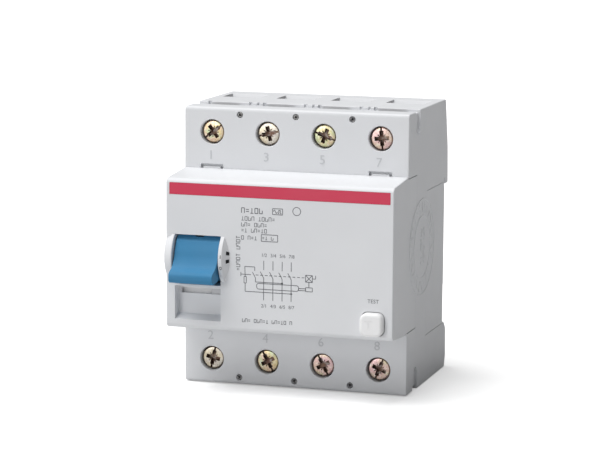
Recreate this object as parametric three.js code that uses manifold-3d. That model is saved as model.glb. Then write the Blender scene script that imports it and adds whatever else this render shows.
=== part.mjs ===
// Four-pole residual current device, 125 A class, for a 35 mm rail.
// Millimetres. X runs left to right, Y front to back, Z bottom to top.
// The origin is the middle of the face that rests on the rail.
import * as THREE from 'three';
import { mergeVertices } from 'three/addons/utils/BufferGeometryUtils.js';
import Module from 'manifold-3d';

const wasm = await Module();
wasm.setup();

// Overall sizes
const MODULE = 17.5;
const POLES = 4;
const HEIGHT = 85;
const BODY_DEPTH = 43.5;
const NOSE_DEPTH = 16.5;
const NOSE_HEIGHT = 45;
const HOOK_DEPTH = 4.5;

// Clearances
const FIT = 0.1;
const SLIDE_FIT = 0.2;
const TURN_FIT = 0.3;
const SEAM = 0.05;
const OVERCUT = 1;

// Walls
const SIDE_WALL = 1.8;
const WALL = 2;
const PARTITION = 1.6;
const TERMINAL_FRONT = 3.6;

// Positions that follow from the sizes above
const HALF_W = (MODULE * POLES) / 2;
const HALF_H = HEIGHT / 2;
const SHOULDER_Y = -BODY_DEPTH;
const NOSE_Y = SHOULDER_Y - NOSE_DEPTH;
const NOSE_HALF = NOSE_HEIGHT / 2;
const INNER_X = HALF_W - SIDE_WALL;

const NOSE = { draft: 1.2, chamfer: 0.9, flangeEnd: 9.5, flangeHalf: 23, wall: 2, roof: 1.2 };
const TOP = { stripEnd: 7.5, grooveEnd: 13, stripDrop: 0.5, grooveDrop: 1.1 };
const GROOVE = { depth: 0.9, height: 7.3 };
const BACK = { topY: 0.7, bendY: 3.9, bendZ: 27.7, wall: 1.8, floor: -1.8 };
const RAIL = { upper: 16.8, lip: 16, lipGap: 1.3, slotTop: 17.9, lower: 27.8, pad: 15.5, padRise: 0.3 };
const FOOT = { topY: 2, shoulderY: 4.2, shoulderZ: 30, heelZ: HALF_H - 3.5, toeY: 3.2 };
const BASE_SEAM = 22;
const ZONE = { floorInner: NOSE_HALF - 0.3, floorOuter: NOSE_HALF + 1.3, roof: HALF_H - WALL };

// Terminals, all measured back from the shoulder face
const SCREW = {
  height: HALF_H - 7.8,
  head: 6.8,
  headLength: 3.6,
  recess: 1.2,
  shank: 5,
  tipChamfer: 0.6,
  slotWidth: 1.15,
  slotDepth: 1,
  crossWidth: 1.3,
  crossLength: 4.6,
  crossDepth: 1.9,
  headSides: 28,
  shankSides: 16,
};
const BAR = { front: 25.1, thick: 2, half: 4.5, end: HALF_H - 4, tipGap: 0.4, padRise: 0.25, padLength: 8, padHalf: 4.2 };
const CAGE = { plate: 1.8, side: 1.2, half: 6.5, below: 6, above: 5, wireSpace: 8.4, frontGap: 0.8 };
const CABLE_HOLE = { halfWidth: 6, front: 27.3, back: 35.3 };
const FORK_HOLE = { halfWidth: 4.5, front: 8.3, back: TOP.grooveEnd };
const RIVET = { z: HALF_H - 2.4, radius: 0.85, length: 3, recess: 0.35, bore: 0.4, boreDepth: 1, sides: 12 };
const BRACKET = { half: 3.6, line: 0.8, leg: 0.9, depth: 1.2, drop: 1.7, offset: HALF_W - 8.7, rise: 1.3 };
const SCREW_TURNS = [-37, -14, 20, 85, -78, 61, 62, -68];

// Toggle
const LEVER = { width: 13.6, sideGap: 0.4, fromSide: 2.8 };
const TOGGLE = {
  x: LEVER.width / 2 + LEVER.sideGap + LEVER.fromSide - HALF_W,
  behind: 6,
  z: -1,
  drum: 7.6,
  windowTop: 5.8,
  windowLow: -9.7,
  pin: 3,
  crank: 5,
  travel: 56,
};
const CHEEK = { radius: 9, rim: 6, width: 2.9, leftRim: 7.9, low: -9.3, high: 8, back: 9, wall: 1.7 };
const POCKET = { depth: 3, floor: 1.6, low: -19.4, bevel: 2, slitTop: -10.6, slitLow: -12.3 };
const LEVER_FACE = [[-5.9, 4.8], [-7.1, 2.3], [-8, -0.1], [-9.6, -2.3], [-12.2, -3.6]];
const LEVER_TIP = [[-12.2, -3.6], [-12.9, -4.4], [-12.9, -6.2], [-11.9, -7], [-7.6, -6.6], [-5.4, -5.3]];
const LEVER_STEPS = { face: 16, corner: 5, cornerReach: 0.75 };

// Contact system, measured from the shaft axis
const SHAFT = { front: 13.5, z: 2, width: 4.8, back: 1.9, low: -4, high: 4, turn: 20, pin: 4 };
const BEARING = { wall: 1.5, reach: 2 };
const ARM = { front: 2, back: 4, low: -4, high: 15, width: 7 };
const PAD = { low: 9, high: 14, thick: 1, width: 6, touch: 0.25 };
const CRANK = { radius: 13.5, cheek: 1.7, gap: 1.3, pin: 1.8 };
const LINK = { halfThick: 1, half: 1.4, eye: 1.2, ring: 1.9, farRing: 2.5, drift: 0.5, slot: 2.3 };

// Summation transformer and the conductors through it
const CORE = { y: -17.4, inner: 7.8, outer: 13, low: -15.5, high: -6.5, sides: 48 };
const COIL = { cover: 0.8, half: 4, gap: 0.15 };
const FEED = { near: 1.8, thick: 3, inner: 0.6, width: 4, lowRun: -22, highRun: -3 };

// Trip relay, trip lever and test circuit
const RELAY = { x0: 3, x1: 21, y0: -49, y1: -35, z0: -19, z1: -5 };
const PLUNGER = { radius: 1.5, z: -12, y: -42, reach: 3.1, inside: 12, tip: 0.5, taper: 1.2, sides: 14 };
const TRIP = { x: -1, z: -5, y0: -45, y1: -39, hub: 2.6, pin: 1.2, low: -14, high: 4, half: 0.8 };
const BUTTON = { x: HALF_W - 6, z: -17.6, size: 6.9, radius: 2, proud: 2.6, stem: 1.5, length: 7, travel: 1.9 };
const BUTTON_FLANGE = { rim: 0.9, thick: 0.8 };
const BUTTON_SPRING = { radius: 2.4, wire: 0.25, turns: 4, steps: 10, sides: 5, seat: 0.35 };
const BLADE = { thick: 0.5, half: 1.6, x0: HALF_W - 13, x1: INNER_X - 0.3, foot: 1.9, back: 4, gap: 0.4 };
const RESISTOR = { x: HALF_W - 9, z: -5, y0: -52, y1: -40, radius: 1.8, lead: 0.4, leadLength: 3, sides: 12 };

// Clip for the rail
const CLIP = { half: 12.1, rib: 8.8, y0: 1.1, y1: 2.7, y2: 4.3, top: -16, base: -28 };
const CLIP_NOSE = { y0: 1.3, ramp: 1.6, half: 10 };
const CLIP_SLOT = { half: 3, low: 1.8, high: 4.8 };

// Band across the nose
const BAND = { low: 17.7, high: 21.2, inset: 1.1, thick: 0.3, gap: 0.05 };
const FLAG = { x0: TOGGLE.x - 6.4, x1: TOGGLE.x + 3.2, thick: 0.8, low: -13.2, high: -10, gap: 0.2, shift: 2.4 };

const COLOURS = {
  housing: [0xd3d5d8, 0.55, 0],
  cover: [0xd6d8da, 0.5, 0],
  steel: [0xb8b9ba, 0.35, 1],
  zinc: [0xc9b56b, 0.35, 1],
  copper: [0xb87545, 0.4, 1],
  brass: [0xc8a45a, 0.35, 1],
  blue: [0x3f86bd, 0.45, 0],
  white: [0xf0f0ee, 0.4, 0],
  red: [0xc8415a, 0.5, 0],
  black: [0x26272a, 0.5, 0],
  iron: [0x6e7074, 0.5, 1],
  winding: [0xa35a2c, 0.4, 1],
};

const poleX = (pole) => (pole - (POLES - 1) / 2) * MODULE;
const sides = [-1, 1];
const fromShoulder = (distance) => SHOULDER_Y + distance;

// Turns a three.js geometry into a closed solid that can be cut and joined.
function solid(geometry) {
  const bare = new THREE.BufferGeometry();
  bare.setAttribute('position', geometry.getAttribute('position'));
  bare.setIndex(geometry.getIndex());
  const merged = mergeVertices(bare, 1e-4);
  const mesh = new wasm.Mesh({
    numProp: 3,
    vertProperties: new Float32Array(merged.getAttribute('position').array),
    triVerts: new Uint32Array(merged.getIndex().array),
  });
  return new wasm.Manifold(mesh);
}

function join(pieces) {
  return pieces.reduce((whole, piece) => whole.add(piece));
}

function cut(body, pieces) {
  return body.subtract(join(pieces));
}

function box([x0, x1], [y0, y1], [z0, z1]) {
  const block = new THREE.BoxGeometry(x1 - x0, y1 - y0, z1 - z0);
  block.translate((x0 + x1) / 2, (y0 + y1) / 2, (z0 + z1) / 2);
  return solid(block);
}

// A prism along X; the outline is a list of [y, z] points.
function prismX(points, [x0, x1]) {
  const shape = new THREE.Shape(points.map(([y, z]) => new THREE.Vector2(y, z)));
  const prism = new THREE.ExtrudeGeometry(shape, { depth: x1 - x0, bevelEnabled: false });
  const toX = new THREE.Matrix4().makeBasis(
    new THREE.Vector3(0, 1, 0),
    new THREE.Vector3(0, 0, 1),
    new THREE.Vector3(1, 0, 0),
  );
  prism.applyMatrix4(toX);
  prism.translate(x0, 0, 0);
  return solid(prism);
}

// A prism along Y; the shape is drawn in X and Z.
function prismY(shape, [y0, y1]) {
  const prism = new THREE.ExtrudeGeometry(shape, { depth: y1 - y0, bevelEnabled: false, curveSegments: 5 });
  prism.rotateX(Math.PI / 2);
  prism.translate(0, y1, 0);
  return solid(prism);
}

function roundX(radius, [x0, x1], [y, z], segments, endRadius = radius) {
  const bar = new THREE.CylinderGeometry(endRadius, radius, x1 - x0, segments);
  bar.rotateZ(-Math.PI / 2);
  bar.translate((x0 + x1) / 2, y, z);
  return solid(bar);
}

function roundY(radius, [y0, y1], [x, z], segments, endRadius = radius) {
  const bar = new THREE.CylinderGeometry(endRadius, radius, y1 - y0, segments);
  bar.translate(x, (y0 + y1) / 2, z);
  return solid(bar);
}

function ringZ(inner, outer, [z0, z1], [x, y], segments) {
  const points = [[inner, z0], [outer, z0], [outer, z1], [inner, z1], [inner, z0]];
  const ring = new THREE.LatheGeometry(points.map(([r, z]) => new THREE.Vector2(r, z)), segments);
  ring.rotateX(Math.PI / 2);
  ring.translate(x, y, 0);
  return solid(ring);
}

function roundedSquare(size, radius, x, z) {
  const half = size / 2;
  const shape = new THREE.Shape();
  shape.moveTo(x - half + radius, z - half);
  shape.lineTo(x + half - radius, z - half);
  shape.absarc(x + half - radius, z - half + radius, radius, -Math.PI / 2, 0, false);
  shape.lineTo(x + half, z + half - radius);
  shape.absarc(x + half - radius, z + half - radius, radius, 0, Math.PI / 2, false);
  shape.lineTo(x - half + radius, z + half);
  shape.absarc(x - half + radius, z + half - radius, radius, Math.PI / 2, Math.PI, false);
  shape.lineTo(x - half, z - half + radius);
  shape.absarc(x - half + radius, z - half + radius, radius, Math.PI, 1.5 * Math.PI, false);
  return shape;
}

const group = new THREE.Group();

function place(name, body, colourName) {
  const { vertProperties, triVerts } = body.getMesh();
  const geometry = new THREE.BufferGeometry();
  geometry.setAttribute('position', new THREE.BufferAttribute(new Float32Array(vertProperties), 3));
  geometry.setIndex(new THREE.BufferAttribute(new Uint32Array(triVerts), 1));
  const [color, roughness, metalness] = COLOURS[colourName];
  const material = new THREE.MeshStandardMaterial({ color, roughness, metalness, flatShading: true });
  const mesh = new THREE.Mesh(geometry, material);
  mesh.name = name;
  group.add(mesh);
}

const ordered = (a, b) => [Math.min(a, b), Math.max(a, b)];
const around = (centre, half) => [centre - half, centre + half];
const noseWall = [NOSE_Y - OVERCUT, NOSE_Y + NOSE.wall + OVERCUT];
const windowX = around(TOGGLE.x, LEVER.width / 2 + LEVER.sideGap);
const toggleAxis = [NOSE_Y + TOGGLE.behind, TOGGLE.z];
const barY = [fromShoulder(BAR.front), fromShoulder(BAR.front) + BAR.thick];
const shaftAxis = [barY[1] - SHAFT.front, SHAFT.z];
const pinHole = TOGGLE.pin / 2 + TURN_FIT / 2;
const clipEnd = -HALF_H + TURN_FIT;

function arm(radius, degrees) {
  const angle = THREE.MathUtils.degToRad(degrees);
  return [radius * Math.cos(angle), radius * Math.sin(angle)];
}

const toggleCrank = arm(TOGGLE.crank, 90 + TOGGLE.travel / 2);
const shaftCrank = arm(CRANK.radius, 90 + SHAFT.turn / 2);
const linkNear = [toggleAxis[0] + toggleCrank[0], toggleAxis[1] + toggleCrank[1]];
const linkFar = [shaftAxis[0] + shaftCrank[0], shaftAxis[1] + shaftCrank[1]];

// Housing

function housingOutline() {
  const strip = HALF_H - TOP.stripDrop;
  const groove = HALF_H - TOP.grooveDrop;
  const stripEnd = fromShoulder(TOP.stripEnd);
  const grooveEnd = fromShoulder(TOP.grooveEnd);
  return [
    [SHOULDER_Y, -strip],
    [stripEnd, -strip],
    [stripEnd, -groove],
    [grooveEnd, -groove],
    [grooveEnd, -HALF_H],
    [FOOT.toeY, -HALF_H],
    [HOOK_DEPTH, -FOOT.heelZ],
    [FOOT.shoulderY, -FOOT.shoulderZ],
    [FOOT.topY, -RAIL.lower],
    [0, -RAIL.lower],
    [0, RAIL.slotTop],
    [RAIL.lipGap, RAIL.slotTop],
    [RAIL.lipGap, RAIL.lip],
    [HOOK_DEPTH, RAIL.lip],
    [BACK.bendY, BACK.bendZ],
    [BACK.topY, HALF_H],
    [grooveEnd, HALF_H],
    [grooveEnd, groove],
    [stripEnd, groove],
    [stripEnd, strip],
    [SHOULDER_Y, strip],
  ];
}

function terminalCuts(pole, sign) {
  const x = poleX(pole);
  const left = Math.max(x - MODULE / 2 + PARTITION / 2, -INNER_X);
  const right = Math.min(x + MODULE / 2 - PARTITION / 2, INNER_X);
  const z = sign * SCREW.height;
  const through = [SHOULDER_Y - OVERCUT, SHOULDER_Y + TERMINAL_FRONT + OVERCUT];
  const outside = ordered(sign * (ZONE.roof - OVERCUT), sign * (HALF_H + OVERCUT));
  const floor = ordered(sign * (ZONE.floorInner - OVERCUT), sign * (ZONE.floorOuter + OVERCUT));
  const cable = [fromShoulder(CABLE_HOLE.front), fromShoulder(CABLE_HOLE.back)];
  const fork = [fromShoulder(FORK_HOLE.front), fromShoulder(FORK_HOLE.back)];
  const barGap = [barY[0] - SLIDE_FIT, barY[1] + SLIDE_FIT];
  const pocketZ = ordered(sign * ZONE.floorOuter, sign * ZONE.roof);
  return [
    box([left, right], [SHOULDER_Y + TERMINAL_FRONT, BACK.floor], pocketZ),
    roundY(SCREW.head / 2 + TURN_FIT, through, [x, z], SCREW.headSides),
    box(around(x, CABLE_HOLE.halfWidth), cable, outside),
    box(around(x, FORK_HOLE.halfWidth), fork, outside),
    box(around(x, BAR.half + SLIDE_FIT), barGap, floor),
  ];
}

function bracketCuts(x) {
  const [x0, x1] = around(x, BRACKET.half);
  const y = [SHOULDER_Y - OVERCUT, SHOULDER_Y + BRACKET.depth];
  const top = NOSE_HALF + NOSE.draft + BRACKET.rise;
  const low = top - BRACKET.drop;
  return [
    box([x0, x1], y, [top - BRACKET.line, top]),
    box([x0, x0 + BRACKET.leg], y, [low, top]),
    box([x1 - BRACKET.leg, x1], y, [low, top]),
  ];
}

function sideGroove(side, sign) {
  const x = ordered(side * (HALF_W - GROOVE.depth), side * (HALF_W + OVERCUT));
  const y = [fromShoulder(TOP.stripEnd), fromShoulder(TOP.grooveEnd)];
  const radius = (y[1] - y[0]) / 2;
  const start = HALF_H - GROOVE.height + radius;
  const straight = box(x, y, ordered(sign * start, sign * (HALF_H + OVERCUT)));
  const end = roundX(radius, x, [y[0] + radius, sign * start], 20);
  return straight.add(end);
}

function clipChannel() {
  const z = [-HALF_H - OVERCUT, -RAIL.lower + OVERCUT];
  return [
    box(around(0, CLIP.half + SLIDE_FIT), [CLIP.y0 - SLIDE_FIT, CLIP.y1 + SLIDE_FIT], z),
    box(around(0, CLIP.rib + SLIDE_FIT), [CLIP.y1, HOOK_DEPTH + OVERCUT], z),
  ];
}

function baseNotch() {
  const z = [-RAIL.lower - FIT, RAIL.upper + FIT];
  const outer = HALF_W + OVERCUT;
  const back = [BACK.floor - FIT, OVERCUT / 2];
  const cheekY = [fromShoulder(BASE_SEAM) - FIT, OVERCUT / 2];
  const cheeks = sides.map((side) => box(ordered(side * (INNER_X - FIT), side * outer), cheekY, z));
  return [box([-outer, outer], back, z), ...cheeks];
}

function housingShell() {
  const flangeZ = around(0, NOSE.flangeHalf + TURN_FIT);
  const flangeY = [SHOULDER_Y - OVERCUT, fromShoulder(NOSE.flangeEnd) + FIT];
  const flangeX = (side) => ordered(side * (INNER_X - FIT), side * (HALF_W + OVERCUT));
  const cuts = [
    box(around(0, INNER_X), [SHOULDER_Y - OVERCUT, BACK.floor], around(0, ZONE.floorInner)),
    ...sides.map((side) => box(flangeX(side), flangeY, flangeZ)),
    ...baseNotch(),
    ...clipChannel(),
    ...bracketCuts(-BRACKET.offset),
    ...bracketCuts(BRACKET.offset),
  ];
  for (const sign of sides) {
    sides.forEach((side) => cuts.push(sideGroove(side, sign)));
    for (let pole = 0; pole < POLES; pole += 1) cuts.push(...terminalCuts(pole, sign));
    for (let seam = 1; seam < POLES; seam += 1) cuts.push(rivetHole(seam, sign));
  }
  return cut(prismX(housingOutline(), [-HALF_W, HALF_W]), cuts);
}

// The bearing that carries one end of the contact shaft.
function bearing(wall, side) {
  const inner = side * (INNER_X - BEARING.reach);
  const boss = roundX(SHAFT.pin / 2 + BEARING.wall, ordered(inner, side * (INNER_X + FIT)), shaftAxis, 20);
  const bore = ordered(inner - side * OVERCUT, side * INNER_X);
  return cut(wall.add(boss), [roundX(SHAFT.pin / 2 + FIT, bore, shaftAxis, 20)]);
}

// One moulding, taken apart along its walls so that each node has a simple shape.
function housingParts() {
  const shell = housingShell();
  const far = HEIGHT;
  const inner = ZONE.roof - SEAM;
  const whole = [-far, far];
  const take = (x, y, z) => shell.intersect(box(x, y, z));
  const end = (sign) => take(whole, whole, ordered(sign * ZONE.roof, sign * far));
  const wall = (side) => take(ordered(side * INNER_X, side * far), whole, around(0, inner));
  const frame = (sign) => take(around(0, INNER_X - SEAM), whole, ordered(0, sign * inner));
  return {
    upper_end_wall: end(1),
    lower_end_wall: end(-1),
    left_side_wall: bearing(wall(-1), -1),
    right_side_wall: bearing(wall(1), 1),
    upper_terminal_frame: frame(1),
    lower_terminal_frame: frame(-1),
  };
}

const rivetCentre = (seam, sign) => [(seam - POLES / 2) * MODULE, sign * RIVET.z];

function rivetHole(seam, sign) {
  const depth = [SHOULDER_Y - OVERCUT, SHOULDER_Y + RIVET.recess + RIVET.length + FIT];
  return roundY(RIVET.radius + FIT, depth, rivetCentre(seam, sign), RIVET.sides);
}

function rivet(seam, sign) {
  const front = SHOULDER_Y + RIVET.recess;
  const centre = rivetCentre(seam, sign);
  const body = roundY(RIVET.radius, [front, front + RIVET.length], centre, RIVET.sides);
  return cut(body, [roundY(RIVET.bore, [front - OVERCUT, front + RIVET.boreDepth], centre, RIVET.sides)]);
}

function railBase() {
  const z = [-RAIL.lower, RAIL.upper];
  const cheekY = [fromShoulder(BASE_SEAM), -RAIL.padRise];
  const cheeks = sides.map((side) => box(ordered(side * INNER_X, side * HALF_W), cheekY, z));
  const seat = box([-HALF_W, HALF_W], [-RAIL.padRise - FIT, 0], around(0, RAIL.pad));
  return join([box([-HALF_W, HALF_W], [BACK.floor, -RAIL.padRise], z), ...cheeks, seat]);
}

// Front cover

function coverShell() {
  const end = SHOULDER_Y - FIT;
  const side = (y, z) => [[y, z], [y, -z]];
  const edge = NOSE_HALF + NOSE.draft;
  const wall = NOSE.wall;
  const outer = [
    [end, edge],
    [NOSE_Y + NOSE.chamfer, NOSE_HALF],
    ...side(NOSE_Y, NOSE_HALF - NOSE.chamfer),
    [NOSE_Y + NOSE.chamfer, -NOSE_HALF],
    [end, -edge],
  ];
  const inner = [
    ...side(end + OVERCUT, edge - NOSE.roof),
    [NOSE_Y + wall, -NOSE_HALF + NOSE.roof],
    [NOSE_Y + wall, NOSE_HALF - NOSE.roof],
  ];
  const hollow = prismX(outer, [-HALF_W, HALF_W]).subtract(prismX(inner, [-INNER_X, INNER_X]));
  const flangeY = [end - OVERCUT, fromShoulder(NOSE.flangeEnd)];
  const flanges = sides.map((s) =>
    box(ordered(s * INNER_X, s * HALF_W), flangeY, around(0, NOSE.flangeHalf)));
  return join([hollow, ...flanges]);
}

function cheeks() {
  const [x0, x1] = windowX;
  const front = box(around(0, HALF_W), [NOSE_Y - CHEEK.radius, NOSE_Y + OVERCUT], around(0, NOSE_HALF));
  const right = roundX(CHEEK.radius, [x1, x1 + CHEEK.width], toggleAxis, 96, CHEEK.rim);
  const left = roundX(CHEEK.leftRim, [-HALF_W, x0], toggleAxis, 96, CHEEK.radius);
  const y = [NOSE_Y + OVERCUT / 2, toggleAxis[0] + CHEEK.back];
  const z = [CHEEK.low, CHEEK.high];
  return [
    right.add(left).intersect(front),
    box([x1, x1 + CHEEK.wall], y, z),
    box([-INNER_X - FIT, x0], y, z),
  ];
}

function pocketBlock() {
  const [x0, x1] = windowX;
  const back = NOSE_Y + POCKET.depth + POCKET.floor;
  return box([x0 - FIT, x1 + CHEEK.wall], [NOSE_Y + OVERCUT / 2, back], [POCKET.low - FIT, TOGGLE.windowLow - FIT]);
}

function pocketCut() {
  const high = TOGGLE.windowLow + FIT;
  const back = NOSE_Y + POCKET.depth;
  const outline = [
    [NOSE_Y - OVERCUT, high],
    [NOSE_Y - OVERCUT, POCKET.low],
    [NOSE_Y, POCKET.low],
    [back, POCKET.low + POCKET.bevel],
    [back, high],
  ];
  return prismX(outline, windowX);
}

function frontCover() {
  const [x0, x1] = windowX;
  const band = [NOSE_Y - OVERCUT, NOSE_Y + BAND.thick + BAND.gap];
  const bandZ = [BAND.low - BAND.gap, BAND.high + BAND.gap];
  const buttonHole = roundedSquare(BUTTON.size + 2 * SLIDE_FIT, BUTTON.radius + SLIDE_FIT, BUTTON.x, BUTTON.z);
  const slitY = [NOSE_Y + POCKET.depth - OVERCUT, NOSE_Y + POCKET.depth + POCKET.floor + OVERCUT];
  const slit = [FLAG.x0 + FIT, x1 - OVERCUT];
  const post = roundY(TRIP.pin, [NOSE_Y + OVERCUT, TRIP.y1 + OVERCUT / 2], [TRIP.x, TRIP.z], PLUNGER.sides);
  const body = join([coverShell(), ...cheeks(), pocketBlock(), post]);
  return cut(body, [
    box(windowX, noseWall, [TOGGLE.windowLow, TOGGLE.windowTop]),
    pocketCut(),
    box(slit, slitY, [POCKET.slitLow, POCKET.slitTop]),
    roundX(pinHole, [x0 - CHEEK.wall, x1 + CHEEK.wall + OVERCUT], toggleAxis, 24),
    prismY(buttonHole, noseWall),
    box(around(0, HALF_W - BAND.inset + BAND.gap), band, bandZ),
  ]);
}

function redBand() {
  return box(around(0, HALF_W - BAND.inset), [NOSE_Y, NOSE_Y + BAND.thick], [BAND.low, BAND.high]);
}

// Toggle, link and contact shaft

function drumArc(from, to, steps) {
  const points = [];
  for (let step = 0; step <= steps; step += 1) {
    points.push(arm(TOGGLE.drum, from + ((to - from) * step) / steps));
  }
  return points;
}

const vectors = (points) => points.map(([y, z]) => new THREE.Vector2(y, z));

// The corners of the tip, each rounded off with a short curve.
function leverTip() {
  const points = vectors(LEVER_TIP);
  const rounded = [];
  for (let index = 1; index < points.length - 1; index += 1) {
    const corner = points[index];
    const [near, far] = [points[index - 1], points[index + 1]].map((next) => {
      const reach = Math.min(LEVER_STEPS.cornerReach, corner.distanceTo(next) / 2);
      return corner.clone().add(next.clone().sub(corner).setLength(reach));
    });
    rounded.push(...new THREE.QuadraticBezierCurve(near, corner, far).getPoints(LEVER_STEPS.corner));
  }
  return rounded;
}

function toggleLever() {
  const face = new THREE.SplineCurve(vectors(LEVER_FACE)).getPoints(LEVER_STEPS.face);
  const outline = [
    ...[...face, ...leverTip()].map((point) => [point.x, point.y]),
    ...drumArc(222, 498, 30),
  ];
  const points = outline.map(([y, z]) => [toggleAxis[0] + y, toggleAxis[1] + z]);
  const width = around(TOGGLE.x, LEVER.width / 2);
  const slotX = around(TOGGLE.x, LINK.halfThick + TURN_FIT);
  const slotY = [linkNear[0] - LINK.ring - TURN_FIT, toggleAxis[0] + TOGGLE.drum + OVERCUT];
  const slotZ = [toggleAxis[1] + LINK.slot, toggleAxis[1] + TOGGLE.drum + OVERCUT];
  const body = cut(prismX(points, width), [
    box(slotX, slotY, slotZ),
    roundX(pinHole, around(TOGGLE.x, LEVER.width), toggleAxis, 24),
  ]);
  return body.add(roundX(CRANK.pin / 2, [slotX[0] - FIT, slotX[1] + FIT], linkNear, 12));
}

function togglePin() {
  const [x0, x1] = windowX;
  return roundX(TOGGLE.pin / 2, [x0 - CHEEK.wall + SLIDE_FIT, x1 + CHEEK.wall], toggleAxis, 24);
}

function driveLink() {
  const x = around(TOGGLE.x, LINK.halfThick);
  const along = [linkFar[0] - linkNear[0], linkFar[1] - linkNear[1]];
  const length = Math.hypot(...along);
  const normal = [(-along[1] / length) * LINK.half, (along[0] / length) * LINK.half];
  const offset = ([y, z], sign) => [y + sign * normal[0], z + sign * normal[1]];
  const strip = [offset(linkNear, 1), offset(linkNear, -1), offset(linkFar, -1), offset(linkFar, 1)];
  const lowEnd = [linkFar[0], linkFar[1] - LINK.drift];
  const body = join([
    prismX(strip, x),
    roundX(LINK.ring, x, linkNear, 20),
    roundX(LINK.farRing, x, linkFar, 20),
  ]);
  const wide = [x[0] - OVERCUT, x[1] + OVERCUT];
  return cut(body, [
    roundX(LINK.eye, wide, linkNear, 20),
    roundX(LINK.eye, wide, linkFar, 20),
    roundX(LINK.eye, wide, lowEnd, 20),
    box(wide, around(linkFar[0], LINK.eye), [lowEnd[1], linkFar[1]]),
  ]);
}

function crankCheek(side) {
  const inner = TOGGLE.x + side * CRANK.gap;
  const outer = TOGGLE.x + side * (CRANK.gap + CRANK.cheek);
  const root = shaftAxis[1] + SHAFT.high - OVERCUT;
  const top = linkFar[1] + CRANK.pin;
  const outline = [
    [shaftAxis[0] - SHAFT.width + SHAFT.back, root],
    [shaftAxis[0] + CRANK.pin / 2, root],
    [linkFar[0] + CRANK.pin, top],
    [linkFar[0] - CRANK.pin, top],
  ];
  return prismX(outline, ordered(inner, outer));
}

function contactShaft() {
  const [y, z] = shaftAxis;
  const half = INNER_X - 2 - SLIDE_FIT;
  const reach = INNER_X - SLIDE_FIT;
  return join([
    box([-half, half], [y - SHAFT.width + SHAFT.back, y + SHAFT.back], [z + SHAFT.low, z + SHAFT.high]),
    roundX(SHAFT.pin / 2, [-reach, reach], shaftAxis, 20),
    crankCheek(-1),
    crankCheek(1),
    roundX(CRANK.pin / 2, around(TOGGLE.x, CRANK.gap + CRANK.cheek), linkFar, 12),
  ]);
}

function movingContact(pole) {
  const [y, z] = shaftAxis;
  const x = poleX(pole);
  const blade = box(around(x, ARM.width / 2), [y + ARM.front, y + ARM.back], [z + ARM.low, z + ARM.high]);
  const padY = [y + ARM.back - FIT, y + ARM.back + PAD.thick];
  return blade.add(box(around(x, PAD.width / 2), padY, [z + PAD.low, z + PAD.high]));
}

// Where a corner of the moving pad comes to rest when the shaft has turned.
function padAt(z) {
  const turn = THREE.MathUtils.degToRad(SHAFT.turn);
  const y = ARM.back + PAD.thick + PAD.touch;
  return [
    shaftAxis[0] + y * Math.cos(turn) + z * Math.sin(turn),
    shaftAxis[1] - y * Math.sin(turn) + z * Math.cos(turn),
  ];
}

// The raised face that the cable is pressed on.
function clampPad(pole, sign) {
  const z = ordered(sign * (BAR.end - BAR.padLength), sign * (BAR.end - FIT));
  return box(around(poleX(pole), BAR.padHalf), [barY[1] - FIT, barY[1] + BAR.padRise], z);
}

function lineTerminalBar(pole) {
  const x = poleX(pole);
  const low = padAt(PAD.low);
  const high = padAt(PAD.high);
  const seat = [low, high, [barY[0] + FIT, high[1]], [barY[0] + FIT, low[1]]];
  const bar = box(around(x, BAR.half), barY, [low[1], BAR.end]);
  return join([bar, prismX(seat, around(x, PAD.width / 2)), clampPad(pole, 1)]);
}

function loadTerminalBar(pole) {
  const x = poleX(pole);
  const side = Math.sign(x);
  const outer = Math.abs(x) > MODULE;
  const nearRow = CORE.y + (outer ? FEED.near : -FEED.near - FEED.thick);
  const row = [nearRow, nearRow + FEED.thick];
  const lowRun = [FEED.lowRun, FEED.lowRun + FEED.thick];
  const highRun = [FEED.highRun, FEED.highRun + FEED.thick];
  const inner = side * FEED.inner;
  const run = ordered(inner, x + side * BAR.half);
  const footFront = shaftAxis[0] + ARM.back + SLIDE_FIT * 2;
  return join([
    box(around(x, BAR.half), barY, [-BAR.end, lowRun[1]]),
    clampPad(pole, -1),
    box(around(x, BAR.half), [Math.min(row[0], barY[0]), Math.max(row[1], barY[1])], lowRun),
    box(run, row, lowRun),
    box(ordered(inner, side * (FEED.inner + FEED.width)), row, [lowRun[0], highRun[1]]),
    box(ordered(inner, x + (side * ARM.width) / 2), row, highRun),
    box(around(x, ARM.width / 2), [footFront, row[1]], highRun),
  ]);
}

// Summation transformer

function transformerCore() {
  return ringZ(CORE.inner, CORE.outer, [CORE.low, CORE.high], [0, CORE.y], CORE.sides);
}

function secondaryWinding() {
  const { cover, gap, half } = COIL;
  const centre = [0, CORE.y];
  const outside = ringZ(
    CORE.inner - cover, CORE.outer + cover, [CORE.low - cover, CORE.high + cover], centre, CORE.sides);
  const inside = ringZ(CORE.inner - gap, CORE.outer + gap, [CORE.low - gap, CORE.high + gap], centre, CORE.sides);
  const reach = CORE.outer + cover + OVERCUT;
  const sector = box([-reach, -FEED.inner - FEED.width - FIT], around(CORE.y, half), [CORE.low - reach, 0]);
  return outside.subtract(inside).intersect(sector);
}

// Trip relay and test circuit

function relayCase() {
  const bore = roundX(
    PLUNGER.radius + SLIDE_FIT,
    [RELAY.x0 - OVERCUT, RELAY.x0 + PLUNGER.inside],
    [PLUNGER.y, PLUNGER.z],
    PLUNGER.sides,
  );
  return cut(box([RELAY.x0, RELAY.x1], [RELAY.y0, RELAY.y1], [RELAY.z0, RELAY.z1]), [bore]);
}

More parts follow.
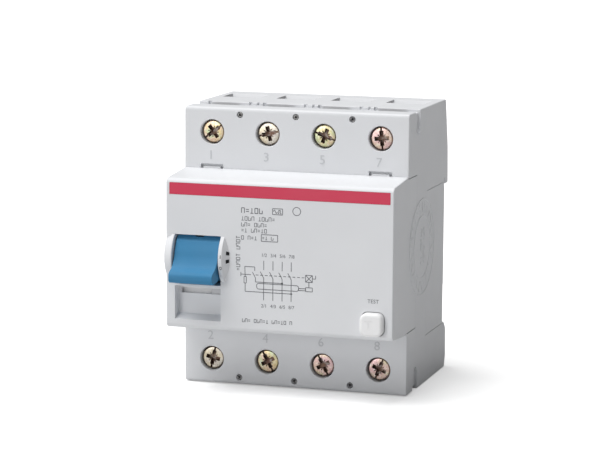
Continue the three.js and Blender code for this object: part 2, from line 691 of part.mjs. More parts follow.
function relayPlunger() {
  const tip = RELAY.x0 - PLUNGER.reach;
  const shoulder = tip + PLUNGER.taper;
  const centre = [PLUNGER.y, PLUNGER.z];
  const rod = [shoulder, RELAY.x0 + PLUNGER.inside - OVERCUT];
  const nose = roundX(PLUNGER.tip, [tip, shoulder], centre, PLUNGER.sides, PLUNGER.radius);
  return nose.add(roundX(PLUNGER.radius, rod, centre, PLUNGER.sides));
}

function tripLever() {
  const y = [TRIP.y0, TRIP.y1];
  const blade = box(around(TRIP.x, TRIP.half), y, [TRIP.low, TRIP.high]);
  const hub = roundY(TRIP.hub, y, [TRIP.x, TRIP.z], 20);
  const bore = roundY(TRIP.pin + SLIDE_FIT, [y[0] - OVERCUT, y[1] + OVERCUT], [TRIP.x, TRIP.z], 20);
  return cut(blade.add(hub), [bore]);
}

const flangeFront = NOSE_Y + NOSE.wall + FIT;
const stemEnd = flangeFront + BUTTON_FLANGE.thick + BUTTON.length;

function testButton() {
  const { x, z, size, radius, proud, stem } = BUTTON;
  const { rim, thick } = BUTTON_FLANGE;
  const cap = prismY(roundedSquare(size, radius, x, z), [NOSE_Y - proud, flangeFront + FIT]);
  const half = size / 2;
  const flange = box([x - half - rim, x + half], [flangeFront, flangeFront + thick], [z - half, z + half + rim]);
  const post = roundY(stem, [flangeFront, stemEnd], [x, z], PLUNGER.sides);
  return join([cap, flange, post]);
}

// The wire of the return spring, wound along Y around the button's stem.
class Helix extends THREE.Curve {
  constructor(radius, turns, start, end) {
    super();
    Object.assign(this, { radius, turns, start, end });
  }

  getPoint(t, target = new THREE.Vector3()) {
    const angle = 2 * Math.PI * this.turns * t;
    const x = BUTTON.x + this.radius * Math.cos(angle);
    const z = BUTTON.z + this.radius * Math.sin(angle);
    return target.set(x, this.start + (this.end - this.start) * t, z);
  }
}

function testButtonSpring() {
  const { radius, wire, turns, steps, sides: wireSides, seat } = BUTTON_SPRING;
  const start = flangeFront + BUTTON_FLANGE.thick + seat;
  const end = stemEnd + BUTTON.travel + BLADE.gap - seat;
  const section = new THREE.Shape();
  for (let side = 0; side < wireSides; side += 1) {
    const angle = (2 * Math.PI * side) / wireSides;
    const point = [wire * Math.cos(angle), wire * Math.sin(angle)];
    if (side === 0) section.moveTo(...point);
    else section.lineTo(...point);
  }
  const extrudePath = new Helix(radius, turns, start, end);
  return solid(new THREE.ExtrudeGeometry(section, { steps: turns * steps, bevelEnabled: false, extrudePath }));
}

function testContactBlade() {
  const front = stemEnd + BUTTON.travel + BLADE.gap;
  const z = around(BUTTON.z, BLADE.half);
  return join([
    box([BLADE.x0, BLADE.x1], [front, front + BLADE.thick], z),
    box([BLADE.x1 - BLADE.foot, BLADE.x1], [front, front + BLADE.back], z),
  ]);
}

function testResistor() {
  const { x, z, y0, y1, radius, lead, leadLength, sides: count } = RESISTOR;
  const body = roundY(radius, [y0, y1], [x, z], count);
  return body.add(roundY(lead, [y0 - leadLength, y1 + leadLength], [x, z], count));
}

function tripFlag() {
  const front = NOSE_Y + POCKET.depth + POCKET.floor + FLAG.gap;
  return box([FLAG.x0, FLAG.x1], [front, front + FLAG.thick], [FLAG.low, FLAG.high]);
}

// Terminals

function crossSlot([width, length, depth], [x, z], degrees) {
  const front = SHOULDER_Y + SCREW.recess;
  const bar = new THREE.BoxGeometry(length, depth + OVERCUT, width);
  bar.rotateY(THREE.MathUtils.degToRad(degrees));
  bar.translate(x, front + (depth - OVERCUT) / 2, z);
  return solid(bar);
}

function terminalScrew(pole, sign) {
  const centre = [poleX(pole), sign * SCREW.height];
  const front = SHOULDER_Y + SCREW.recess;
  const neck = front + SCREW.headLength;
  const tip = barY[0] - BAR.tipGap;
  const shank = SCREW.shank / 2;
  const chamfer = SCREW.tipChamfer;
  const turn = SCREW_TURNS[pole + (sign < 0 ? POLES : 0)];
  const cross = [SCREW.crossWidth, SCREW.crossLength, SCREW.crossDepth];
  const slot = [SCREW.slotWidth, SCREW.head + OVERCUT, SCREW.slotDepth];
  const body = join([
    roundY(SCREW.head / 2, [front, neck], centre, SCREW.headSides),
    roundY(shank, [neck - FIT, tip - chamfer], centre, SCREW.shankSides),
    roundY(shank, [tip - chamfer, tip], centre, SCREW.shankSides, shank - chamfer),
  ]);
  return cut(body, [
    crossSlot(cross, centre, turn),
    crossSlot(cross, centre, turn + 90),
    crossSlot(slot, centre, turn),
  ]);
}

function terminalCage(pole, sign) {
  const x = poleX(pole);
  const front = barY[0] - CAGE.frontGap - CAGE.plate;
  const back = barY[1] + CAGE.wireSpace + CAGE.plate;
  const z = ordered(sign * (SCREW.height - CAGE.below), sign * (SCREW.height + CAGE.above));
  const clearZ = [z[0] - OVERCUT, z[1] + OVERCUT];
  const inside = box(around(x, CAGE.half - CAGE.side), [front + CAGE.plate, back - CAGE.plate], clearZ);
  const thread = roundY(
    SCREW.shank / 2 + FIT,
    [front - OVERCUT, front + CAGE.plate + OVERCUT / 2],
    [x, sign * SCREW.height],
    SCREW.shankSides,
  );
  return cut(box(around(x, CAGE.half), [front, back], z), [inside, thread]);
}

// Clip

function dinClip() {
  const z = [clipEnd, CLIP.base];
  const noseOutline = [
    [CLIP_NOSE.y0, CLIP.base - OVERCUT],
    [CLIP.y2, CLIP.base - OVERCUT],
    [CLIP.y2, CLIP.top - CLIP_NOSE.ramp],
    [CLIP.y2 - CLIP_NOSE.ramp, CLIP.top],
    [CLIP_NOSE.y0, CLIP.top],
  ];
  const body = join([
    box(around(0, CLIP.half), [CLIP.y0, CLIP.y1], z),
    box(around(0, CLIP.rib), [CLIP.y1 - FIT, CLIP.y2], z),
    prismX(noseOutline, around(0, CLIP.rib)),
  ]);
  const slotZ = [clipEnd + CLIP_SLOT.low, clipEnd + CLIP_SLOT.high];
  return cut(body, [box(around(0, CLIP_SLOT.half), [0, HOOK_DEPTH + OVERCUT], slotZ)]);
}

place('front_cover', frontCover(), 'cover');
Object.entries(housingParts()).forEach(([name, body]) => place(name, body, 'housing'));
place('rail_base', railBase(), 'housing');
place('din_clip', dinClip(), 'black');
place('red_band', redBand(), 'red');
place('toggle_lever', toggleLever(), 'blue');
place('toggle_pin', togglePin(), 'steel');
place('drive_link', driveLink(), 'steel');
place('contact_shaft', contactShaft(), 'black');
place('transformer_core', transformerCore(), 'iron');
place('secondary_winding', secondaryWinding(), 'winding');
place('relay_case', relayCase(), 'black');
place('relay_plunger', relayPlunger(), 'steel');
place('trip_lever', tripLever(), 'white');
place('trip_flag', tripFlag(), 'white');
place('test_button', testButton(), 'white');
place('test_button_spring', testButtonSpring(), 'steel');
place('test_contact_blade', testContactBlade(), 'brass');
place('test_resistor', testResistor(), 'brass');

for (let pole = 0; pole < POLES; pole += 1) {
  const line = 2 * pole + 1;
  const load = line + 1;
  place(`terminal_screw_${line}`, terminalScrew(pole, 1), 'zinc');
  place(`terminal_screw_${load}`, terminalScrew(pole, -1), 'zinc');
  place(`terminal_cage_${line}`, terminalCage(pole, 1), 'steel');
  place(`terminal_cage_${load}`, terminalCage(pole, -1), 'steel');
  place(`line_bar_${line}`, lineTerminalBar(pole), 'copper');
  place(`load_bar_${load}`, loadTerminalBar(pole), 'copper');
  place(`moving_contact_${pole + 1}`, movingContact(pole), 'copper');
}

for (let seam = 1; seam < POLES; seam += 1) {
  place(`upper_rivet_${seam}`, rivet(seam, 1), 'iron');
  place(`lower_rivet_${seam}`, rivet(seam, -1), 'iron');
}

export default group;
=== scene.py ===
"""Looks of a four-pole residual current device for a 35 mm rail.

The visible pieces are built around the fixed CAD frame, in metres, with +Z up and the front towards -Y.
Shapes are drawn in millimetres and scaled once, where a mesh is made.
"""

import bmesh
import bpy
import math
from mathutils import Matrix, Vector


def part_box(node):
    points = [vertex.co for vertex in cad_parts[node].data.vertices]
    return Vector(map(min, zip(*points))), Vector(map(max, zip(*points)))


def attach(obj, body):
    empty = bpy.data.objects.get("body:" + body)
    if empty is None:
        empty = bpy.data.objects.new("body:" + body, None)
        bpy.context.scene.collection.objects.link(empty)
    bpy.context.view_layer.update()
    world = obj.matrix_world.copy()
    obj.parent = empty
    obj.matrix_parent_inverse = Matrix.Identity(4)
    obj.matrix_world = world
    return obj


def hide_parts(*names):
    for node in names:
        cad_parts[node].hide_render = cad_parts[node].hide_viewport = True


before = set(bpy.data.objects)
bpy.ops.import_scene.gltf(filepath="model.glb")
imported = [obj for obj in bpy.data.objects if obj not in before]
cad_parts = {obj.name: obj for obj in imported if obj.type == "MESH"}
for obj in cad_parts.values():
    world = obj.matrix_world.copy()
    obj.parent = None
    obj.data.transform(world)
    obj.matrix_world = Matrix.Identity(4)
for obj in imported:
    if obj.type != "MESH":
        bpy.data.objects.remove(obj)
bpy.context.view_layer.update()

bl_info = {
    "name": "Residual current device",
    "version": (1, 0, 0),
    "blender": (4, 5, 0),
    "location": "View3D > Sidebar > Device",
    "description": "Builds the visible pieces of a modular residual current device",
    "category": "Object",
}

MM = 0.001
SPARE = 1.0
FINE = 96

# Frame sizes in millimetres, measured from the CAD nodes where they can be
HALF_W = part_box("rail_base")[1].x / MM
HALF_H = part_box("upper_end_wall")[1].z / MM
NOSE_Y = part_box("red_band")[0].y / MM
SHOULDER_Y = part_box("upper_end_wall")[0].y / MM
HOOK_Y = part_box("upper_terminal_frame")[1].y / MM
MODULE = HALF_W / 2
POLE_X = [MODULE * (index - 1.5) for index in range(4)]
SEAM_X = [MODULE * (index - 1) for index in range(3)]
SIDES = (-1, 1)
INNER_X = 33.2
SCREW_Z = 34.7
RIVET_Z = 40.1
NOSE_HALF = 22.5

# The toggle and its surround
TOGGLE_X = -25.0
TOGGLE_AXIS = (-54.0, -1.0)
WINDOW = {"x": (-32.2, -17.8), "low": -9.7, "high": 5.8}
POCKET = {"depth": 3.0, "low": -19.8, "bevel": 1.4, "slit": (-12.3, -10.6), "slit_end": -21.75}
CHEEK = {"radius": 9.0, "rim": 6.0, "width": 2.9, "left_rim": 7.9, "flat": 1.2, "round": 0.3}
BUTTON = {"x": 29.0, "z": -17.6, "size": 6.9, "radius": 2.0, "proud": 2.6, "edge": 0.9}
BAND = {"low": 17.7, "high": 21.2, "half": 33.9, "thick": 0.3}

# Camera
CAMERA_AT = (0.2198, -0.7477, 0.1226)
CAMERA_YAW = 17.22
CAMERA_PITCH = 8.84
CAMERA_ROLL = 0.37
CAMERA_LENS = 149.8
SENSOR = 36.0
CAMERA_REACH = 50


# ---------------------------------------------------------------- shapes


def new_object(name, bm):
    """Link a new object that holds this bmesh, still in millimetres."""
    bmesh.ops.recalc_face_normals(bm, faces=bm.faces)
    mesh = bpy.data.meshes.new(name)
    bm.to_mesh(mesh)
    bm.free()
    made = bpy.data.objects.new(name, mesh)
    bpy.context.scene.collection.objects.link(made)
    return made


def along_x(a, b, along):
    return (along, a, b)


def along_y(a, b, along):
    return (a, along, b)


def add_ring(bm, points, to_point, along):
    return [bm.verts.new(to_point(a, b, along)) for a, b in points]


def bridge(bm, first, second):
    """Join two loops of vertices; a loop of one vertex is the tip of a fan."""
    count = max(len(first), len(second))
    for index in range(count):
        after = (index + 1) % count
        corners = [first[index % len(first)], first[after % len(first)]]
        corners += [second[after % len(second)], second[index % len(second)]]
        bm.faces.new(list(dict.fromkeys(corners)))


def round_inset(edge, steps):
    """(distance along, inset) pairs of a quarter round."""
    turns = [math.pi / 2 * index / steps for index in range(steps + 1)]
    return [(edge * (1 - math.sin(turn)), edge * (1 - math.cos(turn))) for turn in reversed(turns)]


def area(points):
    pairs = zip(points, points[1:] + points[:1])
    return sum(a[0] * b[1] - b[0] * a[1] for a, b in pairs) / 2


def offset(points, distance):
    """The outline moved inwards by a distance, with its corners mitred."""
    if not distance:
        return points
    turn = math.copysign(1, area(points))
    moved = []
    for before, here, after in zip(points[-1:] + points, points, points[1:] + points[:1]):
        first = (Vector(here) - Vector(before)).normalized()
        second = (Vector(after) - Vector(here)).normalized()
        normals = [Vector((-way.y, way.x)) * turn for way in (first, second)]
        middle = (normals[0] + normals[1]).normalized()
        shift = middle * (distance / max(middle.dot(normals[0]), 0.3))
        moved.append((here[0] + shift.x, here[1] + shift.y))
    return moved


def prism(points, to_point, span, edge=0.0, steps=3, corners=None):
    """A solid of one outline, with its two end edges and the given corners rounded."""
    low, high = span
    levels = round_inset(edge, steps) if edge else [(0.0, 0.0)]
    levels = [(low + along, inset) for along, inset in reversed(levels)]
    levels.sort()
    levels += [(low + high - along, inset) for along, inset in reversed(levels)]
    bm = bmesh.new()
    rings = []
    for along, inset in levels:
        outline = offset(points, inset)
        if corners:
            outline = rounded(outline, corners)
        rings.append(add_ring(bm, outline, to_point, along))
    for first, second in zip(rings, rings[1:]):
        bridge(bm, first, second)
    bm.faces.new(rings[0])
    bm.faces.new(rings[-1])
    return new_object("prism", bm)


def box(x, y, z, edge=0.0):
    points = [(y[0], z[0]), (y[1], z[0]), (y[1], z[1]), (y[0], z[1])]
    return prism(points, along_x, x, edge, corners=edge)


def rounded(points, radius, steps=4):
    """The outline with each corner rounded; radius is one size or one for each corner."""
    radii = radius if isinstance(radius, list) else [radius] * len(points)
    result = []
    corners = zip(points[-1:] + points, points, points[1:] + points[:1], radii)
    for before, here, after, size in corners:
        here = Vector(here)
        ways = [Vector(before) - here, Vector(after) - here]
        reach = min([size] + [way.length * 0.45 for way in ways])
        if reach < 0.02:
            result.append(tuple(here))
            continue
        start, end = (here + way.normalized() * reach for way in ways)
        for index in range(steps + 1):
            share = index / steps
            curve = start * (1 - share) ** 2 + here * (2 * share * (1 - share)) + end * share**2
            result.append(tuple(curve))
    return result


def rounded_square(size, radius, centre, steps=12):
    x, z = centre
    half = size / 2 - radius
    points = []
    for quarter, (a, b) in enumerate(((1, 1), (-1, 1), (-1, -1), (1, -1))):
        for index in range(steps + 1):
            turn = math.pi / 2 * (quarter + index / steps)
            points.append((x + a * half + radius * math.cos(turn), z + b * half + radius * math.sin(turn)))
    return points


def revolve(profile, axis, centre, closed=False, segments=FINE):
    """A solid turned from (radius, along) points about an axis along X or Y."""
    first, second = centre
    bm = bmesh.new()
    rings = []
    for radius, along in profile:
        turns = [2 * math.pi * index / segments for index in range(segments if radius else 1)]
        points = [(first + radius * math.cos(turn), second + radius * math.sin(turn)) for turn in turns]
        rings.append(add_ring(bm, points, axis, along))
    following = rings[1:] + (rings[:1] if closed else [])
    for ring, after in zip(rings, following):
        bridge(bm, ring, after)
    return new_object("turned", bm)


def combine(body, steps):
    """Apply (operation, tool) steps to a solid in one go and drop the tools."""
    for operation, tool in steps:
        modifier = body.modifiers.new("cut", "BOOLEAN")
        modifier.operation = operation
        modifier.solver = "MANIFOLD"
        modifier.object = tool
    bpy.context.view_layer.update()
    evaluated = body.evaluated_get(bpy.context.evaluated_depsgraph_get())
    mesh = bpy.data.meshes.new_from_object(evaluated)
    body.modifiers.clear()
    body.data = mesh
    for _, tool in steps:
        bpy.data.objects.remove(tool)
    return body


def cut(body, tools):
    return combine(body, [("DIFFERENCE", tool) for tool in tools])


def join(body, tools):
    return combine(body, [("UNION", tool) for tool in tools])


def bevel_where(body, test, width, segments=3):
    """Round the edges that pass a test of their two ends and two faces."""
    bm = bmesh.new()
    bm.from_mesh(body.data)
    bmesh.ops.remove_doubles(bm, verts=bm.verts, dist=1e-4)
    bmesh.ops.dissolve_limit(bm, angle_limit=math.radians(1), verts=bm.verts, edges=bm.edges)
    chosen = [edge for edge in bm.edges if len(edge.link_faces) == 2 and test(edge)]
    bmesh.ops.bevel(
        bm, geom=chosen, offset=width, offset_type="OFFSET", segments=segments,
        profile=0.5, affect="EDGES", clamp_overlap=True)
    bm.to_mesh(body.data)
    bm.free()
    return body


def is_sharp(edge):
    return edge.calc_face_angle(0) > math.radians(35)


def carried(name, node, width, test=is_sharp, segments=2):
    """A copy of a CAD node in millimetres, with its edges rounded."""
    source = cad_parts[node].data.copy()
    source.materials.clear()
    source.transform(Matrix.Scale(1 / MM, 4))
    made = bpy.data.objects.new(name, source)
    bpy.context.scene.collection.objects.link(made)
    return bevel_where(made, test, width, segments)


def publish(made, name, body, material, nodes=(), angle=32):
    """Scale to metres, shade, paint and hang a piece on its CAD body."""
    made.name = name
    made.data.name = name
    made.data.transform(Matrix.Scale(MM, 4))
    made.data.shade_smooth()
    made.data.set_sharp_from_angle(angle=math.radians(angle))
    weighted = made.modifiers.new("weighted", "WEIGHTED_NORMAL")
    weighted.keep_sharp = True
    made.data.materials.clear()
    made.data.materials.append(material)
    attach(made, body)
    if nodes:
        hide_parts(*nodes)
    return made


# ---------------------------------------------------------------- lines and letters


def face_spot(x, z, height):
    return (x, NOSE_Y - height, z)


def shoulder_spot(x, z, height):
    return (x, SHOULDER_Y - height, z)


def stroke(bm, start, end, width, height, spot, parts=1):
    """A raised bar from start to end, in as many parts as the surface needs to bend."""
    start, end = Vector(start), Vector(end)
    side = Vector((start.y - end.y, end.x - start.x)).normalized() * (width / 2)
    rings = []
    for index in range(parts + 1):
        middle = start.lerp(end, index / parts)
        ends = [middle + side, middle - side]
        corners = [(ends[0], -0.02), (ends[1], -0.02), (ends[1], height), (ends[0], height)]
        rings.append([bm.verts.new(spot(point.x, point.y, rise)) for point, rise in corners])
    for first, second in zip(rings, rings[1:]):
        bridge(bm, first, second)
    bm.faces.new(rings[0])
    bm.faces.new(rings[-1])


def polyline(bm, points, width, height, spot):
    for start, end in zip(points, points[1:]):
        stroke(bm, start, end, width, height, spot)


def circle(bm, centre, radius, width, height, spot, segments=28, across=1.0):
    """A raised ring, or an oval one when it is narrower across."""
    rings = []
    for index in range(segments):
        turn = 2 * math.pi * index / segments
        way = Vector((math.cos(turn), math.sin(turn)))
        near, far = (way * (radius + side * width / 2) for side in SIDES)
        corners = [(near, -0.02), (far, -0.02), (far, height), (near, height)]
        rings.append(
            [bm.verts.new(spot(centre[0] + p.x * across, centre[1] + p.y, rise)) for p, rise in corners])
    for first, second in zip(rings, rings[1:] + rings[:1]):
        bridge(bm, first, second)


def letters(bm, words, centre, size, height, spot):
    """Figures or a plain word, as raised letters around a centre."""
    curve = bpy.data.curves.new("letters", "FONT")
    curve.body = words
    curve.size = size / 0.7
    curve.extrude = 0.5
    curve.align_x = "CENTER"
    curve.align_y = "CENTER"
    curve.resolution_u = 3
    holder = bpy.data.objects.new("letters", curve)
    bpy.context.scene.collection.objects.link(holder)
    bpy.context.view_layer.update()
    evaluated = holder.evaluated_get(bpy.context.evaluated_depsgraph_get())
    mesh = bpy.data.meshes.new_from_object(evaluated)
    for vertex in mesh.vertices:
        x, z, rise = vertex.co
        vertex.co = spot(centre[0] + x, centre[1] + z, height if rise > 0 else -0.02)
    bm.from_mesh(mesh)
    bpy.data.objects.remove(holder)


GLYPHS = (
    (((0, 0), (0, 1)), ((1, 0), (1, 1)), ((0, 1), (1, 1))),
    (((0, 0), (1, 0)), ((0.5, 0), (0.5, 1))),
    (((0, 0), (0, 1)), ((0, 0), (1, 0)), ((1, 0), (1, 0.6))),
    (((0, 0.3), (1, 0.3)), ((0, 0.7), (1, 0.7))),
    (((0, 0), (1, 0)), ((1, 0), (1, 1)), ((1, 1), (0, 1)), ((0, 1), (0, 0))),
)


def filler_row(bm, start, end, size, width, height, spot, first=0):
    """A row of made-up signs that stands for a line of small print."""
    start, end = Vector(start), Vector(end)
    way = (end - start).normalized()
    up = Vector((-way.y, way.x))
    step = size * 0.92
    for index in range(int((end - start).length / step)):
        glyph = GLYPHS[(index * 3 + first) % len(GLYPHS)]
        if (index + first) % 6 == 5:
            continue
        corner = start + way * (index * step)
        for line in glyph:
            ends = [corner + way * (u * size * 0.6) + up * (v * size) for u, v in line]
            stroke(bm, ends[0], ends[1], width, height, spot)


# ---------------------------------------------------------------- materials


def node_group(name, inputs, outputs):
    """An empty shader group with its sockets; returns it with its two end nodes."""
    tree = bpy.data.node_groups.new(name, "ShaderNodeTree")
    for label, kind, value in inputs:
        tree.interface.new_socket(label, in_out="INPUT", socket_type=kind).default_value = value
    for label, kind in outputs:
        tree.interface.new_socket(label, in_out="OUTPUT", socket_type=kind)
    return tree, tree.nodes.new("NodeGroupInput"), tree.nodes.new("NodeGroupOutput")


def add_node(tree, kind, links=(), **values):
    """A node with its constants set and its inputs linked from (input, socket) pairs."""
    node = tree.nodes.new(kind)
    for key, value in values.items():
        if key in node.bl_rna.properties:
            setattr(node, key, value)
        else:
            node.inputs[key.replace("_", " ")].default_value = value
    for key, socket in links:
        tree.links.new(socket, node.inputs[key])
    return node


def mixed(tree, share, first, second):
    """A colour between two sockets or plain colours."""
    node = tree.nodes.new("ShaderNodeMix")
    node.data_type = "RGBA"
    tree.links.new(share, node.inputs["Factor"])
    for label, value in (("A", first), ("B", second)):
        socket = [s for s in node.inputs if s.name == label and s.type == "RGBA"][0]
        if isinstance(value, bpy.types.NodeSocket):
            tree.links.new(value, socket)
        else:
            socket.default_value = (*value, 1)
    return [s for s in node.outputs if s.type == "RGBA"][0]


def ranged(tree, socket, low, high, to_low, to_high):
    node = add_node(
        tree, "ShaderNodeMapRange", [("Value", socket)],
        From_Min=low, From_Max=high, To_Min=to_low, To_Max=to_high)
    return node.outputs["Result"]


def object_noise(tree, scale, detail=3.0, stretch=None):
    """Noise in the piece's own coordinates."""
    place = tree.nodes.new("ShaderNodeTexCoord").outputs["Object"]
    if stretch:
        place = add_node(tree, "ShaderNodeMapping", [("Vector", place)], Scale=stretch).outputs["Vector"]
    noise = add_node(tree, "ShaderNodeTexNoise", [("Vector", place)], Scale=scale, Detail=detail)
    return noise.outputs["Fac"]


def moulded_surface():
    """Fine spark-eroded grain, faint flow marks and a little settled dust."""
    tree, start, end = node_group(
        "moulded_surface",
        [("Colour", "NodeSocketColor", (0.7, 0.7, 0.7, 1)), ("Roughness", "NodeSocketFloat", 0.45),
         ("Dust", "NodeSocketFloat", 0.05)],
        [("Colour", "NodeSocketColor"), ("Roughness", "NodeSocketFloat"), ("Height", "NodeSocketFloat")])
    flow = ranged(tree, object_noise(tree, 60, 2), 0.35, 0.65, 0.0, 0.045)
    colour = mixed(tree, flow, start.outputs["Colour"], (0.42, 0.43, 0.46))
    geometry = tree.nodes.new("ShaderNodeNewGeometry")
    split = add_node(tree, "ShaderNodeSeparateXYZ", [("Vector", geometry.outputs["Normal"])])
    upward = ranged(tree, split.outputs["Z"], 0.6, 1.0, 0.0, 1.0)
    specks = ranged(tree, object_noise(tree, 900, 4), 0.5, 0.75, 0.0, 1.0)
    dust = add_node(tree, "ShaderNodeMath", [(0, upward), (1, specks)], operation="MULTIPLY")
    dust = add_node(
        tree, "ShaderNodeMath", [(0, dust.outputs[0]), (1, start.outputs["Dust"])], operation="MULTIPLY")
    colour = mixed(tree, dust.outputs[0], colour, (0.6, 0.58, 0.54))
    tree.links.new(colour, end.inputs["Colour"])
    sheen = ranged(tree, object_noise(tree, 220, 3), 0.3, 0.7, -0.04, 0.06)
    rough = add_node(tree, "ShaderNodeMath", [(0, start.outputs["Roughness"]), (1, sheen)], operation="ADD")
    tree.links.new(rough.outputs[0], end.inputs["Roughness"])
    tree.links.new(object_noise(tree, 6500, 2), end.inputs["Height"])
    return tree


def plated_surface():
    """Metal with drifting tints, rubbed patches and brushed streaks."""
    tree, start, end = node_group(
        "plated_surface",
        [("Colour", "NodeSocketColor", (0.6, 0.6, 0.6, 1)), ("Second tint", "NodeSocketColor", (0.6, 0.6, 0.6, 1)),
         ("Third tint", "NodeSocketColor", (0.6, 0.6, 0.6, 1)), ("Roughness", "NodeSocketFloat", 0.3)],
        [("Colour", "NodeSocketColor"), ("Roughness", "NodeSocketFloat"), ("Height", "NodeSocketFloat")])
    drift = ranged(tree, object_noise(tree, 190, 2), 0.4, 0.6, 0.0, 1.0)
    colour = mixed(tree, drift, start.outputs["Colour"], start.outputs["Second tint"])
    bloom = ranged(tree, object_noise(tree, 420, 3), 0.52, 0.7, 0.0, 0.85)
    colour = mixed(tree, bloom, colour, start.outputs["Third tint"])
    worn = ranged(tree, object_noise(tree, 1300, 3), 0.5, 0.72, 0.0, 0.6)
    tree.links.new(mixed(tree, worn, colour, (0.80, 0.77, 0.74)), end.inputs["Colour"])
    streak = object_noise(tree, 900, 4, (1.0, 1.0, 0.08))
    rough = add_node(
        tree, "ShaderNodeMath",
        [(0, start.outputs["Roughness"]), (1, ranged(tree, streak, 0.3, 0.7, -0.06, 0.12))], operation="ADD")
    tree.links.new(rough.outputs[0], end.inputs["Roughness"])
    tree.links.new(streak, end.inputs["Height"])
    return tree


def finish_material(name, group, settings, bump, constants):
    """A Principled material fed by one shared group, named apart from the frame's own."""
    name = f"{name}_finish"
    if name in bpy.data.materials:
        return bpy.data.materials[name]
    material = bpy.data.materials.new(name)
    material.use_nodes = True
    tree = material.node_tree
    shader = tree.nodes["Principled BSDF"]
    source = tree.nodes.new("ShaderNodeGroup")
    source.node_tree = group
    for label, value in settings.items():
        source.inputs[label].default_value = value
    raised = add_node(
        tree, "ShaderNodeBump", [("Height", source.outputs["Height"])], Strength=bump, Distance=0.00002)
    tree.links.new(source.outputs["Colour"], shader.inputs["Base Color"])
    tree.links.new(source.outputs["Roughness"], shader.inputs["Roughness"])
    tree.links.new(raised.outputs["Normal"], shader.inputs["Normal"])
    for label, value in constants.items():
        shader.inputs[label].default_value = value
    return material


PLASTIC_IOR = 1.48
PLASTIC_SPECULAR = 0.16
METAL_BUMP = 0.12

# slot: colour, roughness, dust, bump
PLASTICS = {
    "cover": ((0.765, 0.775, 0.795), 0.42, 0.06, 0.16),
    "housing": ((0.765, 0.775, 0.795), 0.44, 0.08, 0.18),
    "clip_plastic": ((0.032, 0.032, 0.035), 0.5, 0.10, 0.25),
    "band": ((0.67, 0.057, 0.110), 0.42, 0.02, 0.08),
    "toggle_plastic": ((0.050, 0.222, 0.410), 0.56, 0.02, 0.2),
    "white_plastic": ((0.90, 0.90, 0.905), 0.32, 0.03, 0.08),
    "black_plastic": ((0.022, 0.022, 0.025), 0.48, 0.05, 0.2),
    "resistor_body": ((0.45, 0.30, 0.17), 0.35, 0.02, 0.1),
    "ink": ((0.165, 0.17, 0.185), 0.55, 0.0, 0.05),
    "dark_ink": ((0.012, 0.012, 0.014), 0.5, 0.0, 0.05),
    # The housing's plastic, darker as painted shade of the raised pole numbers.
    "number_painted_shade": ((0.60, 0.61, 0.63), 0.5, 0.0, 0.05),
    "shade_grey": ((0.58, 0.585, 0.60), 0.5, 0.0, 0.05),
}

# slot: colour, second tint, third tint, roughness
METALS = {
    "steel": ((0.50, 0.51, 0.52), (0.58, 0.58, 0.57), (0.42, 0.43, 0.45), 0.32),
    "zinc_gold": ((0.62, 0.50, 0.27), (0.66, 0.47, 0.36), (0.47, 0.55, 0.36), 0.27),
    "zinc_rose": ((0.63, 0.46, 0.38), (0.60, 0.40, 0.40), (0.60, 0.56, 0.36), 0.27),
    "zinc_green": ((0.58, 0.52, 0.28), (0.50, 0.55, 0.34), (0.66, 0.50, 0.34), 0.27),
    "zinc_pale": ((0.56, 0.53, 0.47), (0.62, 0.54, 0.40), (0.50, 0.44, 0.42), 0.25),
    "copper": ((0.72, 0.36, 0.20), (0.78, 0.42, 0.25), (0.55, 0.27, 0.16), 0.34),
    "core_iron": ((0.20, 0.21, 0.22), (0.26, 0.26, 0.27), (0.16, 0.17, 0.18), 0.46),
    # Darker, browner finish for the faces inside the screw recesses: painted shade in the hollows.
    "recess_painted_shade": ((0.24, 0.15, 0.11), (0.17, 0.10, 0.08), (0.34, 0.25, 0.18), 0.5),
    "rivet_steel": ((0.20, 0.20, 0.21), (0.26, 0.26, 0.26), (0.15, 0.15, 0.16), 0.4),
    "brass": ((0.72, 0.52, 0.22), (0.78, 0.58, 0.28), (0.60, 0.42, 0.18), 0.3),
}


def group_once(name, build):
    return bpy.data.node_groups.get(name) or build()


def paint(slot):
    """The material of a slot, made when it is first asked for."""
    if slot in METALS:
        first, second, third, rough = METALS[slot]
        group = group_once("plated_surface", plated_surface)
        settings = {
            "Colour": (*first, 1), "Second tint": (*second, 1), "Third tint": (*third, 1), "Roughness": rough}
        return finish_material(slot, group, settings, METAL_BUMP, {"Metallic": 1.0})
    colour, rough, dust, bump = PLASTICS[slot]
    colour = getattr(bpy.context.scene.rcd_colours, slot, colour)
    group = group_once("moulded_surface", moulded_surface)
    settings = {"Colour": (*colour, 1), "Roughness": rough, "Dust": dust}
    return finish_material(slot, group, settings, bump, {"IOR": PLASTIC_IOR, "Specular IOR Level": PLASTIC_SPECULAR})


def colour_property(label, description, slot):
    return bpy.props.FloatVectorProperty(
        name=label, description=description, default=PLASTICS[slot][0], subtype="COLOR", min=0, max=1)


class RcdColourSettings(bpy.types.PropertyGroup):
    """Colours of the moulded pieces."""

    cover: colour_property("Cover", "Front cover and its nose", "cover")
    housing: colour_property("Housing", "Housing and rail base", "housing")
    band: colour_property("Band", "Band across the nose", "band")
    toggle_plastic: colour_property("Toggle", "Toggle lever", "toggle_plastic")
    clip_plastic: colour_property("Clip", "Rail clip", "clip_plastic")
    white_plastic: colour_property("White parts", "Test button, trip lever and flag", "white_plastic")
    ink: colour_property("Print", "Printed lines on the nose", "ink")


# ---------------------------------------------------------------- the housing

BRACKET = {"offset": 26.3, "half": 3.6, "line": 0.8, "leg": 0.9, "depth": 1.2, "drop": 1.7, "top": 25.0}
STRIP = {"end": SHOULDER_Y + 7.5, "groove_end": SHOULDER_Y + 13, "drop": 0.3, "groove": 1.1}
BACK_FLOOR = -1.8
CHAMBER = {"front": SHOULDER_Y + 3.6, "floor": 23.8, "roof": 40.5, "partition": 0.8}
RAIL = {"upper": 16.8, "lower": 27.8}
BASE_SEAM = SHOULDER_Y + 22
SCREW_HOLE = 3.76


